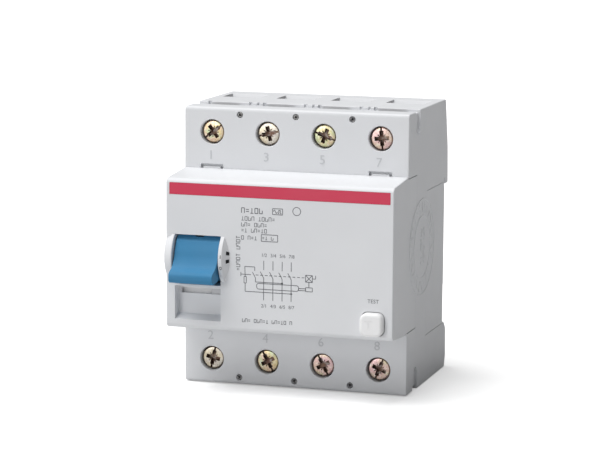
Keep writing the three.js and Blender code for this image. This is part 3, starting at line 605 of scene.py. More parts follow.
def housing_outline():
    """The side view of the housing: its (y, z) corners and the radius of each."""
    upper = [
        ((SHOULDER_Y, HALF_H - STRIP["drop"]), 1.1),
        ((STRIP["end"], HALF_H - STRIP["drop"]), 0.15),
        ((STRIP["end"], HALF_H - STRIP["groove"]), 0.15),
        ((STRIP["groove_end"], HALF_H - STRIP["groove"]), 0.2),
        ((STRIP["groove_end"], HALF_H), 0.3),
    ]
    back_top = [((0.7, HALF_H), 0.5), ((3.9, 27.7), 1.5), ((HOOK_Y, 16.0), 0.4), ((1.3, 16.0), 0.2)]
    recess = [((1.3, 17.9), 0.2), ((0.0, 17.9), 0.2), ((0.0, -RAIL["lower"]), 0.0)]
    foot = [((2.0, -RAIL["lower"]), 0.3), ((4.2, -30.0), 0.6), ((HOOK_Y, 3.5 - HALF_H), 0.5), ((3.2, -HALF_H), 0.4)]
    lower = [((y, -z), size) for (y, z), size in reversed(upper)]
    whole = upper + back_top + recess + foot + lower
    return [point for point, _ in whole], [size for _, size in whole]


def chamfered_hole(radius, centre, depth, chamfer):
    front = SHOULDER_Y
    profile = [
        (0, front - SPARE), (radius + chamfer + SPARE, front - SPARE), (radius + chamfer, front),
        (radius, front + chamfer), (radius, front + depth), (0, front + depth)]
    return revolve(profile, along_y, centre)


def span(sign, low, high):
    """The stretch from low to high on one side of the middle."""
    return tuple(sorted((sign * low, sign * high)))


def funnel(x, sign):
    """The sloped back edge of a cable entry."""
    back = SHOULDER_Y + 35.3
    points = [(back - 1, HALF_H - 2.1), (back, HALF_H - 2.1), (back + 1.6, HALF_H), (back + 1.6, HALF_H + 1),
              (back - 1, HALF_H + 1)]
    return prism([(y, sign * z) for y, z in points], along_x, (x - 6, x + 6))


def terminal_openings(x, sign, chamfer):
    low = x - MODULE / 2 + CHAMBER["partition"]
    left = max(low, -INNER_X)
    right = min(low + MODULE - 2 * CHAMBER["partition"], INNER_X)
    beyond = span(sign, CHAMBER["roof"] - SPARE, HALF_H + SPARE)
    return [
        box((left, right), (CHAMBER["front"], BACK_FLOOR), span(sign, CHAMBER["floor"], CHAMBER["roof"])),
        chamfered_hole(SCREW_HOLE, (x, sign * SCREW_Z), 4.6, chamfer),
        box((x - 6, x + 6), (SHOULDER_Y + 27.3, SHOULDER_Y + 35.3), beyond),
        funnel(x, sign),
        box((x - 4.5, x + 4.5), (SHOULDER_Y + 8.3, STRIP["groove_end"]), beyond),
        box((x - 4.7, x + 4.7), (SHOULDER_Y + 24.9, SHOULDER_Y + 27.3), span(sign, 21.2, 24.8)),
    ]


def bracket_slots(x):
    left, right, top = x - BRACKET["half"], x + BRACKET["half"], BRACKET["top"]
    depth = (SHOULDER_Y - SPARE, SHOULDER_Y + BRACKET["depth"])
    low = top - BRACKET["drop"]
    return [
        box((left, right), depth, (top - BRACKET["line"], top)),
        box((left, left + BRACKET["leg"]), depth, (low, top)),
        box((right - BRACKET["leg"], right), depth, (low, top)),
    ]


def side_channel(side, sign):
    """The round-ended channel at each end of the groove."""
    x = span(side, HALF_W - 0.9, HALF_W + SPARE)
    middle = (STRIP["end"] + STRIP["groove_end"]) / 2
    radius = (STRIP["groove_end"] - STRIP["end"]) / 2
    start = HALF_H - 7.3 + radius
    straight = box(x, (middle - radius, middle + radius), span(sign, start, HALF_H + SPARE))
    end = revolve([(0, x[0]), (radius, x[0]), (radius, x[1]), (0, x[1])], along_x, (middle, sign * start))
    return [straight, end]


def top_marks():
    """Small notches along the front edge of the top and the bottom."""
    front = (STRIP["groove_end"] - SPARE / 2, STRIP["groove_end"] + 1.2)
    spots = [(x - 5.8, x - 4.7, 1.4) for x in POLE_X]
    spots += [(x - 1.5, x - 0.4, 0.8) for x in SEAM_X] + [(x + 1.1, x + 2.0, 0.8) for x in SEAM_X]
    return [
        box((low, high), front, span(sign, HALF_H - depth, HALF_H + SPARE))
        for low, high, depth in spots for sign in SIDES]


class RcdHousingSettings(bpy.types.PropertyGroup):
    """Sizes of the housing that only matter to its looks."""

    side_edge: bpy.props.FloatProperty(
        name="Side edge", description="Rounding where the sides meet the front and top",
        default=0.42 * MM, unit="LENGTH")
    hole_chamfer: bpy.props.FloatProperty(
        name="Hole chamfer", description="Chamfer around the screw holes", default=0.16 * MM, unit="LENGTH")
    trim_edge: bpy.props.FloatProperty(
        name="Trim edge", description="Rounding on the rail base and clip", default=0.25 * MM, unit="LENGTH")


class RCD_OT_housing(bpy.types.Operator):
    """Mould the one-piece look of the housing over its six CAD nodes"""

    bl_idname = "rcd.housing"
    bl_label = "Housing"

    def execute(self, context):
        settings = context.scene.rcd_housing
        edge, chamfer = settings.side_edge / MM, settings.hole_chamfer / MM
        points, corners = housing_outline()
        body = prism(points, along_x, (-HALF_W, HALF_W), edge, corners=corners)
        tools = [box((-INNER_X, INNER_X), (SHOULDER_Y - SPARE, BACK_FLOOR), (-22.2, 22.2))]
        tools.append(box((-HALF_W - SPARE, HALF_W + SPARE), (BACK_FLOOR - 0.1, 0.5), (-27.9, 16.9)))
        for side in SIDES:
            outer = span(side, INNER_X - 0.1, HALF_W + SPARE)
            tools.append(box(outer, (SHOULDER_Y - SPARE, SHOULDER_Y + 9.6), (-23.3, 23.3)))
            tools.append(box(outer, (BASE_SEAM - 0.1, 0.5), (-27.9, 16.9)))
            for sign in SIDES:
                tools += side_channel(side, sign)
        channel = (-HALF_H - SPARE, SPARE - RAIL["lower"])
        tools.append(box((-12.3, 12.3), (0.9, 2.9), channel))
        tools.append(box((-9.0, 9.0), (2.7, HOOK_Y + SPARE), channel))
        for x in (-BRACKET["offset"], BRACKET["offset"]):
            tools += bracket_slots(x)
        for sign in SIDES:
            for x in POLE_X:
                tools += terminal_openings(x, sign, chamfer)
            for x in SEAM_X:
                tools.append(chamfered_hole(0.95, (x, sign * RIVET_Z), 3.5, 0.14))
        cut(body, tools + top_marks())
        names = [f"{end}_{part}" for end in ("upper", "lower") for part in ("end_wall", "terminal_frame")]
        publish(
            body, "housing_moulding", "housing", paint("housing"),
            names + ["left_side_wall", "right_side_wall"])
        return {"FINISHED"}


class RCD_OT_rail_side(bpy.types.Operator):
    """Round the edges of the rail base and of the sprung rail clip"""

    bl_idname = "rcd.rail_side"
    bl_label = "Rail base and clip"

    def execute(self, context):
        edge = context.scene.rcd_housing.trim_edge / MM
        base = carried("base", "rail_base", edge)
        publish(base, "rail_base_moulding", "housing", paint("housing"), ["rail_base"])
        clip = carried("clip", "din_clip", edge)
        publish(clip, "rail_clip", "clip", paint("clip_plastic"), ["din_clip"])
        return {"FINISHED"}


class RCD_OT_numbers(bpy.types.Operator):
    """Emboss the pole numbers between the screws and the nose"""

    bl_idname = "rcd.numbers"
    bl_label = "Pole numbers"

    def execute(self, context):
        bm = bmesh.new()
        for index, x in enumerate(POLE_X):
            for sign, number in ((1, 2 * index + 1), (-1, 2 * index + 2)):
                letters(bm, str(number), (x - 0.4, sign * 27.6), 2.7, 0.1, shoulder_spot)
        numbers = new_object("numbers", bm)
        # The numbers are moulded in the housing's plastic; their darker colour is painted shade.
        publish(numbers, "pole_numbers", "housing", paint("number_painted_shade"))
        return {"FINISHED"}


# ---------------------------------------------------------------- the emblem


def side_spot(u, v, height):
    return (HALF_W + height, EMBLEM["y"] + u, EMBLEM["z"] + v)


EMBLEM = {"y": -27.3, "z": 0.5, "outer": 14.6, "inner": 9.5, "rise": 0.16, "line": 0.34, "plate": 0.05}


class RCD_OT_emblem(bpy.types.Operator):
    """Raise a plain ringed roundel on the right side, in the colour of the housing"""

    bl_idname = "rcd.emblem"
    bl_label = "Side roundel"

    def execute(self, context):
        outer, inner, rise, line = (EMBLEM[key] for key in ("outer", "inner", "rise", "line"))
        bm = bmesh.new()
        for radius in (outer, inner):
            circle(bm, (0, 0), radius, line, rise, side_spot, FINE)
        between = (outer + inner) / 2
        for index in range(26):
            turn = 2 * math.pi * (index + 0.5) / 26
            way = Vector((math.cos(turn), math.sin(turn)))
            lean = Vector((-way.y, way.x)) * (0.8 if index % 3 else -0.5)
            reach = 1.5 if index % 4 else 0.9
            stroke(bm, way * (between - reach) - lean, way * (between + reach) + lean, line * 1.3, rise, side_spot)
        for u in (-1.6, 1.4):
            filler_row(bm, (u, 5.4), (u, -6.2), 1.5, line, rise, side_spot, 2 if u > 0 else 0)
        marks = new_object("marks", bm)
        rim = outer + line / 2
        profile = [(0, HALF_W), (rim, HALF_W), (rim - 0.04, HALF_W + EMBLEM["plate"]), (0, HALF_W + EMBLEM["plate"])]
        plate = revolve(profile, along_x, (EMBLEM["y"], EMBLEM["z"]))
        publish(plate, "side_roundel_plate", "housing", paint("cover"))
        publish(marks, "side_roundel_marks", "housing", paint("cover"))
        return {"FINISHED"}


# ---------------------------------------------------------------- the front


def nose_outline():
    end, edge = SHOULDER_Y - 0.1, NOSE_HALF + 1.2
    half = [((end, edge), 0.1), ((NOSE_Y + 0.9, NOSE_HALF), 0.5), ((NOSE_Y, NOSE_HALF - 0.9), 0.5)]
    whole = half + [((y, -z), size) for (y, z), size in reversed(half)]
    return [point for point, _ in whole], [size for _, size in whole]


def cheek(inner, outer, outer_radius):
    """One round wall beside the toggle, kept only where it stands out of the nose."""
    way = math.copysign(1, outer - inner)
    radius, soft = CHEEK["radius"], CHEEK["round"]
    flat = inner + way * CHEEK["flat"] if outer_radius == CHEEK["rim"] else inner + way * soft * 2
    profile = [
        (0, inner), (radius - soft, inner), (radius - soft * 0.3, inner + way * soft * 0.3),
        (radius, inner + way * soft), (radius, flat), (outer_radius, outer - way * soft * 0.3),
        (outer_radius - soft * 0.3, outer), (0, outer)]
    solid = revolve(profile, along_x, TOGGLE_AXIS)
    keep = box(tuple(sorted((inner, outer))), (NOSE_Y - 10, NOSE_Y + 0.5), (-NOSE_HALF + 1, NOSE_HALF - 1))
    return combine(solid, [("INTERSECT", keep)])


def pocket_shape():
    y, depth = NOSE_Y, POCKET["depth"]
    points = [
        (y - SPARE, WINDOW["low"] + 0.1), (y - SPARE, POCKET["low"] - 0.1), (y, POCKET["low"]),
        (y + depth, POCKET["low"] + POCKET["bevel"]), (y + depth, WINDOW["low"] + 0.1)]
    return prism(points, along_x, WINDOW["x"])


def cover_body(edge):
    x0, x1 = WINDOW["x"]
    end = SHOULDER_Y - 0.1
    points, corners = nose_outline()
    body = prism(points, along_x, (-HALF_W, HALF_W), edge, corners=corners)
    inside = [
        (end + SPARE, NOSE_HALF), (NOSE_Y + 2, NOSE_HALF - 1.2),
        (NOSE_Y + 2, 1.2 - NOSE_HALF), (end + SPARE, -NOSE_HALF)]
    cut(body, [prism(inside, along_x, (-INNER_X, INNER_X))])
    parts = [box(span(side, INNER_X, HALF_W), (end - SPARE, SHOULDER_Y + 9.5), (-23, 23)) for side in SIDES]
    parts.append(cheek(x1, x1 + CHEEK["width"], CHEEK["rim"]))
    parts.append(cheek(x0, -HALF_W + 0.05, CHEEK["left_rim"]))
    side_y = (NOSE_Y + 0.5, TOGGLE_AXIS[0] + 9)
    parts.append(box((x1, x1 + 1.7), side_y, (-9.3, 8)))
    parts.append(box((-INNER_X - 0.1, x0), side_y, (-9.3, 8)))
    back = NOSE_Y + POCKET["depth"] + 1.6
    parts.append(box((x0 - 0.1, x1 + 1.7), (NOSE_Y + 0.5, back), (POCKET["low"] - 0.1, WINDOW["low"] - 0.1)))
    parts.append(box((x0 - 0.1, x1 + 0.1), (NOSE_Y, TOGGLE_AXIS[0] + 4), (WINDOW["low"] - 0.7, WINDOW["low"] + 0.6)))
    join(body, parts)
    bore = [(0, x0 - 1.7), (1.65, x0 - 1.7), (1.65, x1 + 2.7), (0, x1 + 2.7)]
    tools = [
        box(WINDOW["x"], (NOSE_Y - SPARE, NOSE_Y + 3), (WINDOW["low"] + 0.6, WINDOW["high"])),
        pocket_shape(),
        box((x0 + 0.9, POCKET["slit_end"]), (NOSE_Y + 2, back + SPARE), POCKET["slit"]),
        box((x0 + 0.9, x1 - 0.1), (NOSE_Y + 2, NOSE_Y + POCKET["depth"] + 0.5), POCKET["slit"]),
        revolve(bore, along_x, TOGGLE_AXIS, segments=48),
        prism(
            rounded_square(BUTTON["size"] + 0.46, BUTTON["radius"] + 0.23, (BUTTON["x"], BUTTON["z"])),
            along_y, (NOSE_Y - SPARE, NOSE_Y + 3)),
        box((-BAND["half"] - 0.05, BAND["half"] + 0.05), (NOSE_Y - SPARE, NOSE_Y + 0.35),
            (BAND["low"] - 0.05, BAND["high"] + 0.05)),
    ]
    return cut(body, tools)


class RcdFrontSettings(bpy.types.PropertyGroup):
    """Sizes of the front that only matter to its looks."""

    cover_edge: bpy.props.FloatProperty(
        name="Cover edge", description="Rounding of the upright edges of the nose",
        default=0.4 * MM, unit="LENGTH")
    lever_edge: bpy.props.FloatProperty(
        name="Lever edge", description="Rounding along both sides of the toggle",
        default=0.55 * MM, unit="LENGTH")
    line_width: bpy.props.FloatProperty(
        name="Line width", description="Width of the printed lines", default=0.2 * MM, unit="LENGTH")
    ink_height: bpy.props.FloatProperty(
        name="Ink height", description="How far the print stands off the cover", default=0.03 * MM, unit="LENGTH")


class RCD_OT_cover(bpy.types.Operator):
    """Mould the front cover with its nose, toggle cheeks, pocket and button hole"""

    bl_idname = "rcd.cover"
    bl_label = "Front cover"

    def execute(self, context):
        body = cover_body(context.scene.rcd_front.cover_edge / MM)
        publish(body, "cover_moulding", "housing", paint("cover"), ["front_cover"])
        shade = box(
            (POCKET["slit_end"], WINDOW["x"][1] - 0.1),
            (NOSE_Y + POCKET["depth"] + 0.4, NOSE_Y + POCKET["depth"] + 1.5), POCKET["slit"], 0.05)
        publish(shade, "slit_shade", "housing", paint("shade_grey"))
        return {"FINISHED"}


class RCD_OT_band(bpy.types.Operator):
    """Lay the coloured band into its recess across the nose"""

    bl_idname = "rcd.band"
    bl_label = "Colour band"

    def execute(self, context):
        points = [(-BAND["half"], BAND["low"]), (BAND["half"], BAND["low"]),
                  (BAND["half"], BAND["high"]), (-BAND["half"], BAND["high"])]
        band = prism(points, along_y, (NOSE_Y, NOSE_Y + BAND["thick"]), 0.08, corners=0.25)
        publish(band, "colour_band", "housing", paint("band"), ["red_band"])
        return {"FINISHED"}


class RCD_OT_toggle(bpy.types.Operator):
    """Round the sides of the toggle lever and polish its pin"""

    bl_idname = "rcd.toggle"
    bl_label = "Toggle"

    def execute(self, context):
        half = (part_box("toggle_lever")[1].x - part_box("toggle_lever")[0].x) / MM / 2
        axis = Vector(TOGGLE_AXIS)

        def on_side(edge):
            ends = [vertex.co for vertex in edge.verts]
            level = all(abs(abs(end.x - TOGGLE_X) - half) < 0.01 for end in ends)
            return level and all((Vector((end.y, end.z)) - axis).length > 3 for end in ends)

        lever = carried("lever", "toggle_lever", context.scene.rcd_front.lever_edge / MM, on_side, 4)
        publish(lever, "toggle_handle", "toggle", paint("toggle_plastic"), ["toggle_lever"])
        low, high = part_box("toggle_pin")
        x0, x1 = low.x / MM, high.x / MM
        profile = [(0, x0), (1.2, x0), (1.5, x0 + 0.3), (1.5, x1 - 0.3), (1.2, x1), (0, x1)]
        pin = revolve(profile, along_x, TOGGLE_AXIS, segments=48)
        publish(pin, "toggle_axle", "housing", paint("steel"), ["toggle_pin"])
        return {"FINISHED"}


class RCD_OT_button(bpy.types.Operator):
    """Shape the test button with its soft edge and engraved sign"""

    bl_idname = "rcd.button"
    bl_label = "Test button"

    def execute(self, context):
        x, z, size = BUTTON["x"], BUTTON["z"], BUTTON["size"]
        front = NOSE_Y - BUTTON["proud"]
        low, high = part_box("test_button")
        outline = rounded_square(size, BUTTON["radius"], (x, z))
        top = prism(outline, along_y, (front, NOSE_Y + 4), BUTTON["edge"], 6)
        tail = box((x - 4, x + 4), (NOSE_Y + 2.3, NOSE_Y + 9), (z - 4, z + 4))
        cut(top, [
            tail,
            box((x - 1.7, x + 0.5), (front - SPARE, front + 0.16), (z + 1.1, z + 1.4)),
            box((x - 0.75, x - 0.45), (front - SPARE, front + 0.16), (z - 1.3, z + 1.15)),
        ])
        back = high.y / MM
        flange_x = (low.x / MM, x + size / 2)
        flange = box(flange_x, (NOSE_Y + 2.1, NOSE_Y + 2.9), (z - size / 2, high.z / MM), 0.15)
        stem = [(0, NOSE_Y + 2.1), (1.5, NOSE_Y + 2.1), (1.5, back - 0.3), (1.2, back), (0, back)]
        join(top, [flange, revolve(stem, along_y, (x, z), segments=48)])
        publish(top, "test_button_cap", "button", paint("white_plastic"), ["test_button"])
        return {"FINISHED"}


class RCD_OT_flag(bpy.types.Operator):
    """Shape the flag that shows in the slit of the pocket"""

    bl_idname = "rcd.flag"
    bl_label = "Trip flag"

    def execute(self, context):
        low, high = (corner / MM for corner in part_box("trip_flag"))
        flag = box((low.x, high.x), (low.y, high.y), (low.z, high.z), 0.1)
        publish(flag, "flag_plate", "flag", paint("white_plastic"), ["trip_flag"])
        return {"FINISHED"}


# ---------------------------------------------------------------- terminals

SCREW = {
    "head": 3.4, "front": SHOULDER_Y + 1.2, "neck": SHOULDER_Y + 4.8, "tip": SHOULDER_Y + 24.7,
    "shank": 2.5, "edge": 0.45, "pitch": 1.0, "thread": 0.32}
RECESS = {"slot": (8.0, 0.6, 1.0), "cross": (4.5, 1.25, 1.9), "tick": (3.4, 0.3, 0.5)}
SCREW_TURNS = (-37, -14, 20, 85, -78, 61, 62, -68)
SCREW_TINTS = (
    "zinc_gold", "zinc_pale", "zinc_green", "zinc_rose", "zinc_pale", "zinc_gold", "zinc_rose", "zinc_rose")
LINE_POLES = [(index, x, 1, 2 * index + 1) for index, x in enumerate(POLE_X)]
LOAD_POLES = [(index, x, -1, 2 * index + 2) for index, x in enumerate(POLE_X)]


def recess_bar(size, centre, degrees):
    """A cutter for one slot of a screw head, turned about the axis of the screw."""
    length, width, depth = size
    bar = box((-length / 2, length / 2), (SCREW["front"] - SPARE, SCREW["front"] + depth), (-width / 2, width / 2))
    place = Matrix.Translation((centre[0], 0, centre[1])) @ Matrix.Rotation(math.radians(degrees), 4, "Y")
    bar.data.transform(place)
    return bar


def threaded_shank(centre, start, end, segments=20, steps=4):
    """A shank with a running thread, cut as a ridge that climbs with the turn."""
    pitch, depth, radius = SCREW["pitch"], SCREW["thread"], SCREW["shank"]
    count = int((end - start) / pitch * steps)
    bm = bmesh.new()
    rings = []
    for level in range(count + 1):
        along = start + (end - start) * level / count
        ring = []
        for index in range(segments):
            turn = 2 * math.pi * index / segments
            phase = ((along - start) / pitch + index / segments) % 1.0
            reach = radius - depth * abs(2 * phase - 1)
            reach -= max(0.0, 0.8 - (end - along)) * 0.75
            ring.append(bm.verts.new(
                (centre[0] + reach * math.cos(turn), along, centre[1] + reach * math.sin(turn))))
        rings.append(ring)
    for first, second in zip(rings, rings[1:]):
        bridge(bm, first, second)
    bm.faces.new(rings[0])
    bm.faces.new(rings[-1])
    return new_object("shank", bm)


def screw(centre, degrees):
    front, neck, radius, edge = SCREW["front"], SCREW["neck"], SCREW["head"], SCREW["edge"]
    soft = [(radius - inset, front + along) for along, inset in reversed(round_inset(edge, 4))]
    profile = [(0, front)] + soft[::-1] + [(radius, neck - 0.15), (radius - 0.15, neck), (0, neck)]
    head = revolve(profile, along_y, centre, segments=64)
    cut(head, [
        recess_bar(RECESS["slot"], centre, degrees),
        recess_bar(RECESS["cross"], centre, degrees),
        recess_bar(RECESS["cross"], centre, degrees + 90),
        recess_bar(RECESS["tick"], centre, degrees + 45),
        recess_bar(RECESS["tick"], centre, degrees - 45),
    ])
    return join(head, [threaded_shank(centre, neck - 0.5, SCREW["tip"])])


def stain_recess(piece, centre):
    """Paint the faces inside the recess darker and browner: painted shade in the hollow of the head."""
    piece.data.materials.append(paint("recess_painted_shade"))
    low, high = SCREW["front"] + 0.05, SCREW["front"] + RECESS["cross"][2] + 0.05
    for face in piece.data.polygons:
        x, y, z = face.center / MM
        if low < y < high and math.hypot(x - centre[0], z - centre[1]) < SCREW["head"] - 0.12:
            face.material_index = 1


class RCD_OT_screws(bpy.types.Operator):
    """Turn the eight terminal screws with their slots, cross recesses and threads"""

    bl_idname = "rcd.screws"
    bl_label = "Terminal screws"

    def execute(self, context):
        for index, x, sign, number in LINE_POLES + LOAD_POLES:
            place = index + (4 if sign < 0 else 0)
            piece = screw((x, sign * SCREW_Z), SCREW_TURNS[place])
            publish(
                piece, f"screw_head_{number}", f"screw_{number}", paint(SCREW_TINTS[place]),
                [f"terminal_screw_{number}"])
            # The faces inside the recess get the painted shade finish.
            stain_recess(piece, (x, sign * SCREW_Z))
        return {"FINISHED"}


class RCD_OT_rivets(bpy.types.Operator):
    """Set the hollow rivets between the screws"""

    bl_idname = "rcd.rivets"
    bl_label = "Rivets"

    def execute(self, context):
        front = SHOULDER_Y + 0.35
        for sign, row in ((1, "upper"), (-1, "lower")):
            for index, x in enumerate(SEAM_X):
                profile = [
                    (0, front + 1.0), (0.4, front + 1.0), (0.42, front + 0.12), (0.55, front), (0.72, front),
                    (0.85, front + 0.14), (0.85, front + 2.9), (0.75, front + 3.0), (0, front + 3.0)]
                rivet = revolve(profile, along_y, (x, sign * RIVET_Z), segments=32)
                name = f"{row}_rivet_{index + 1}"
                publish(rivet, f"{name}_tube", "housing", paint("rivet_steel"), [name])
        return {"FINISHED"}


class RCD_OT_clamps(bpy.types.Operator):
    """Round the edges of the terminal cages, the copper bars and the contacts"""

    bl_idname = "rcd.clamps"
    bl_label = "Cages, bars and contacts"

    def execute(self, context):
        for index, x, sign, number in LINE_POLES + LOAD_POLES:
            node = f"terminal_cage_{number}"
            cage = carried("cage", node, 0.35)
            publish(cage, f"cage_frame_{number}", f"cage_{number}", paint("steel"), [node])
            row = "line" if sign > 0 else "load"
            bar = carried("bar", f"{row}_bar_{number}", 0.2)
            publish(bar, f"{row}_copper_{number}", "housing", paint("copper"), [f"{row}_bar_{number}"])
        for index in range(len(POLE_X)):
            node = f"moving_contact_{index + 1}"
            arm = carried("arm", node, 0.2)
            publish(arm, f"contact_arm_{index + 1}", "shaft", paint("copper"), [node])
        return {"FINISHED"}


# ---------------------------------------------------------------- inner parts

# CAD node, new piece, body, slot, edge
INNER_PARTS = (
    ("contact_shaft", "shaft_moulding", "shaft", "black_plastic", 0.3),
    ("drive_link", "link_plate", "link", "steel", 0.15),
    ("transformer_core", "core_ring", "housing", "core_iron", 0.5),
    ("relay_case", "relay_box", "housing", "black_plastic", 0.5),
    ("relay_plunger", "plunger_rod", "plunger", "steel", 0.1),
    ("trip_lever", "trip_arm", "trip", "white_plastic", 0.25),
    ("test_contact_blade", "contact_spring", "housing", "brass", 0.12),
)
CORE = {"y": -17.4, "inner": 7.8, "outer": 13.0, "low": -15.5, "high": -6.5}
WINDING = {"wire": 0.3, "gap": 0.42, "turns": 15, "reach": 17.0, "corner": 0.8}
RESISTOR = {"x": 26.0, "z": -5.0, "y": (-52.0, -40.0), "radius": 1.8, "lead": 0.4, "reach": 3.0}


class RCD_OT_inner(bpy.types.Operator):
    """Round the inner mechanism and give each part its own finish"""

    bl_idname = "rcd.inner"
    bl_label = "Inner mechanism"

    def execute(self, context):
        for node, name, body, slot, edge in INNER_PARTS:
            piece = carried(name, node, edge)
            publish(piece, name, body, paint(slot), [node])
        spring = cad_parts["test_button_spring"]
        spring.data.materials.clear()
        spring.data.materials.append(paint("steel"))
        return {"FINISHED"}


class RCD_OT_winding(bpy.types.Operator):
    """Wind the secondary coil turn by turn around the core"""

    bl_idname = "rcd.winding"
    bl_label = "Secondary winding"

    def execute(self, context):
        gap, wire = WINDING["gap"], WINDING["wire"]
        near, far = CORE["inner"] - gap, CORE["outer"] + gap
        low, high = CORE["low"] - gap, CORE["high"] + gap
        loop = rounded([(near, low), (far, low), (far, high), (near, high)], WINDING["corner"], 4)
        bm = bmesh.new()
        for index in range(WINDING["turns"]):
            share = index / (WINDING["turns"] - 1) - 0.5
            turn = math.radians(180 + 2 * WINDING["reach"] * share)
            out = Vector((math.cos(turn), math.sin(turn), 0))
            across = Vector((-math.sin(turn), math.cos(turn), 0))
            rings = []
            for before, here, after in zip(loop[-1:] + loop, loop, loop[1:] + loop[:1]):
                way = Vector((after[0] - before[0], after[1] - before[1])).normalized()
                middle = Vector((0, CORE["y"], 0)) + out * here[0] + Vector((0, 0, here[1]))
                side = out * way.y - Vector((0, 0, way.x))
                angles = [math.pi / 4 * step for step in range(8)]
                rings.append([
                    bm.verts.new(middle + (side * math.cos(angle) + across * math.sin(angle)) * wire)
                    for angle in angles])
            for first, second in zip(rings, rings[1:] + rings[:1]):
                bridge(bm, first, second)
        coil = new_object("coil", bm)
        publish(coil, "coil_turns", "housing", paint("copper"), ["secondary_winding"])
        return {"FINISHED"}


class RCD_OT_resistor(bpy.types.Operator):
    """Turn the test resistor with its leads and colour rings"""

    bl_idname = "rcd.resistor"
    bl_label = "Test resistor"

    def execute(self, context):
        radius, lead, reach = RESISTOR["radius"], RESISTOR["lead"], RESISTOR["reach"]
        start, end = RESISTOR["y"]
        centre = (RESISTOR["x"], RESISTOR["z"])
        half = [(0, start - reach), (lead, start - reach), (lead, start), (1.2, start), (radius - 0.2, start + 0.3),
                (radius, start + 0.8), (radius, start + 2.2), (radius - 0.15, start + 2.7)]
        mirrored = [(size, start + end - along) for size, along in reversed(half)]
        body = revolve(half + mirrored, along_y, centre, segments=32)
        publish(body, "resistor_body", "housing", paint("resistor_body"), ["test_resistor"])
        size = radius - 0.15
        for index, (shift, slot) in enumerate(((3.6, "band"), (5.4, "dark_ink"), (7.2, "band"))):
            y = start + shift
            ring = revolve(
                [(0, y), (size, y), (size + 0.05, y + 0.1), (size + 0.05, y + 0.8), (size, y + 0.9), (0, y + 0.9)],
                along_y, centre, segments=32)
            publish(ring, f"resistor_ring_{index + 1}", "housing", paint(slot))
        return {"FINISHED"}


# ---------------------------------------------------------------- print on the front

POLE_PRINT = (-4.42, -1.57, 1.27, 4.06)


def text_rows(bm, width, height):
    """Small made-up signs that stand for the rows of print."""
    rows = (
        ((-11.35, 13.2), (-3.4, 13.2), 1.5, 0), ((-11.35, 11.0), (0.95, 11.0), 1.15, 1),
        ((-11.35, 9.2), (-2.5, 9.2), 1.1, 2), ((-11.35, 7.5), (-1.4, 7.5), 1.1, 3),
        ((-11.35, 5.3), (-5.75, 5.3), 1.1, 4), ((-11.0, -19.4), (4.84, -19.4), 1.0, 2),
        ((-12.95, 6.2), (-12.95, -5.6), 1.15, 1))
    for start, end, size, first in rows:
        filler_row(bm, start, end, size, width * (1.15 if size > 1.2 else 0.85), height, face_spot, first)
    for x0, x1, z0, z1 in ((-1.78, 1.31, 13.14, 14.90), (-5.2, -0.17, 5.02, 7.02)):
        polyline(bm, [(x0, z0), (x1, z0), (x1, z1), (x0, z1), (x0, z0)], width, height, face_spot)
    wave = [(-1.5 + step * 0.1, 14.02 + 0.5 * math.sin(step * math.pi / 6)) for step in range(13)]
    polyline(bm, wave, width, height, face_spot)
    pulse = [(-0.1, 13.5), (0.15, 13.5), (0.15, 14.5), (0.6, 14.5), (0.6, 13.5), (1.0, 13.5)]
    polyline(bm, pulse, width, height, face_spot)
    filler_row(bm, (-4.9, 5.5), (-0.3, 5.5), 1.0, width * 0.8, height, face_spot, 3)
    circle(bm, (5.63, 14.4), 1.2, width, height, face_spot)


def circuit(bm, width, height):
    """The wiring diagram: four poles, core, relay and test branch."""
    def lines(*runs):
        for run in runs:
            polyline(bm, run, width, height, face_spot)

    for index, x in enumerate(POLE_PRINT):
        lines([(x, -0.75), (x, -3.5)], [(x - 1.05, -4.05), (x, -5.95)], [(x, -5.95), (x, -12.5)])
        for z, pair in ((0.87, (2 * index + 1, 2 * index + 2)), (-14.27, (2 * index + 2, 2 * index + 1))):
            letters(bm, f"{pair[0]}/{pair[1]}", (x + 0.1, z), 1.0, height, face_spot)
    lines(
        [(-10.28, -2.75), (-7.2, -2.75), (-7.2, -3.95)],
        [(-7.9, -4.3), (-6.97, -6.0), (-6.97, -7.2), (1.28, -7.2)],
        [(-10.28, -2.75), (-10.16, -5.75)],
        [(-10.51, -5.75), (-9.81, -5.75), (-9.81, -7.69), (-10.51, -7.69), (-10.51, -5.75)],
        [(-10.16, -7.69), (-10.16, -10.18), (4.09, -10.18)],
        [(8.49, -7.98), (10.56, -7.98), (10.56, -9.15), (8.49, -9.15), (8.49, -7.98)],
        [(8.47, -4.30), (10.54, -4.30), (10.54, -6.35), (8.47, -6.35), (8.47, -4.30)],
        [(8.47, -4.30), (10.54, -6.35)], [(8.47, -6.35), (10.54, -4.30)],
        [(10.54, -5.28), (11.54, -5.28), (11.54, -4.3)],
        [(9.5, -6.35), (9.5, -7.98)], [(-11.5, -4.5), (-11.5, -5.7)], [(-11.5, -5.1), (-8.4, -5.1)])
    for index in range(11):
        start = -6.9 + index * 1.42
        lines([(start, -5.1), (start + 0.85, -5.1)])
    for x, z in ((1.28, -7.2), (4.09, -10.18)):
        circle(bm, (x, z), 0.14, 0.3, height, face_spot, 12)
    for x0, x1, z0, z1 in ((-6.6, 6.33, -9.27, -7.58), (6.33, 8.5, -8.95, -8.35)):
        loop = rounded([(x0, z0), (x1, z0), (x1, z1), (x0, z1)], (z1 - z0) * 0.5, 8)
        lines(loop + loop[:1])


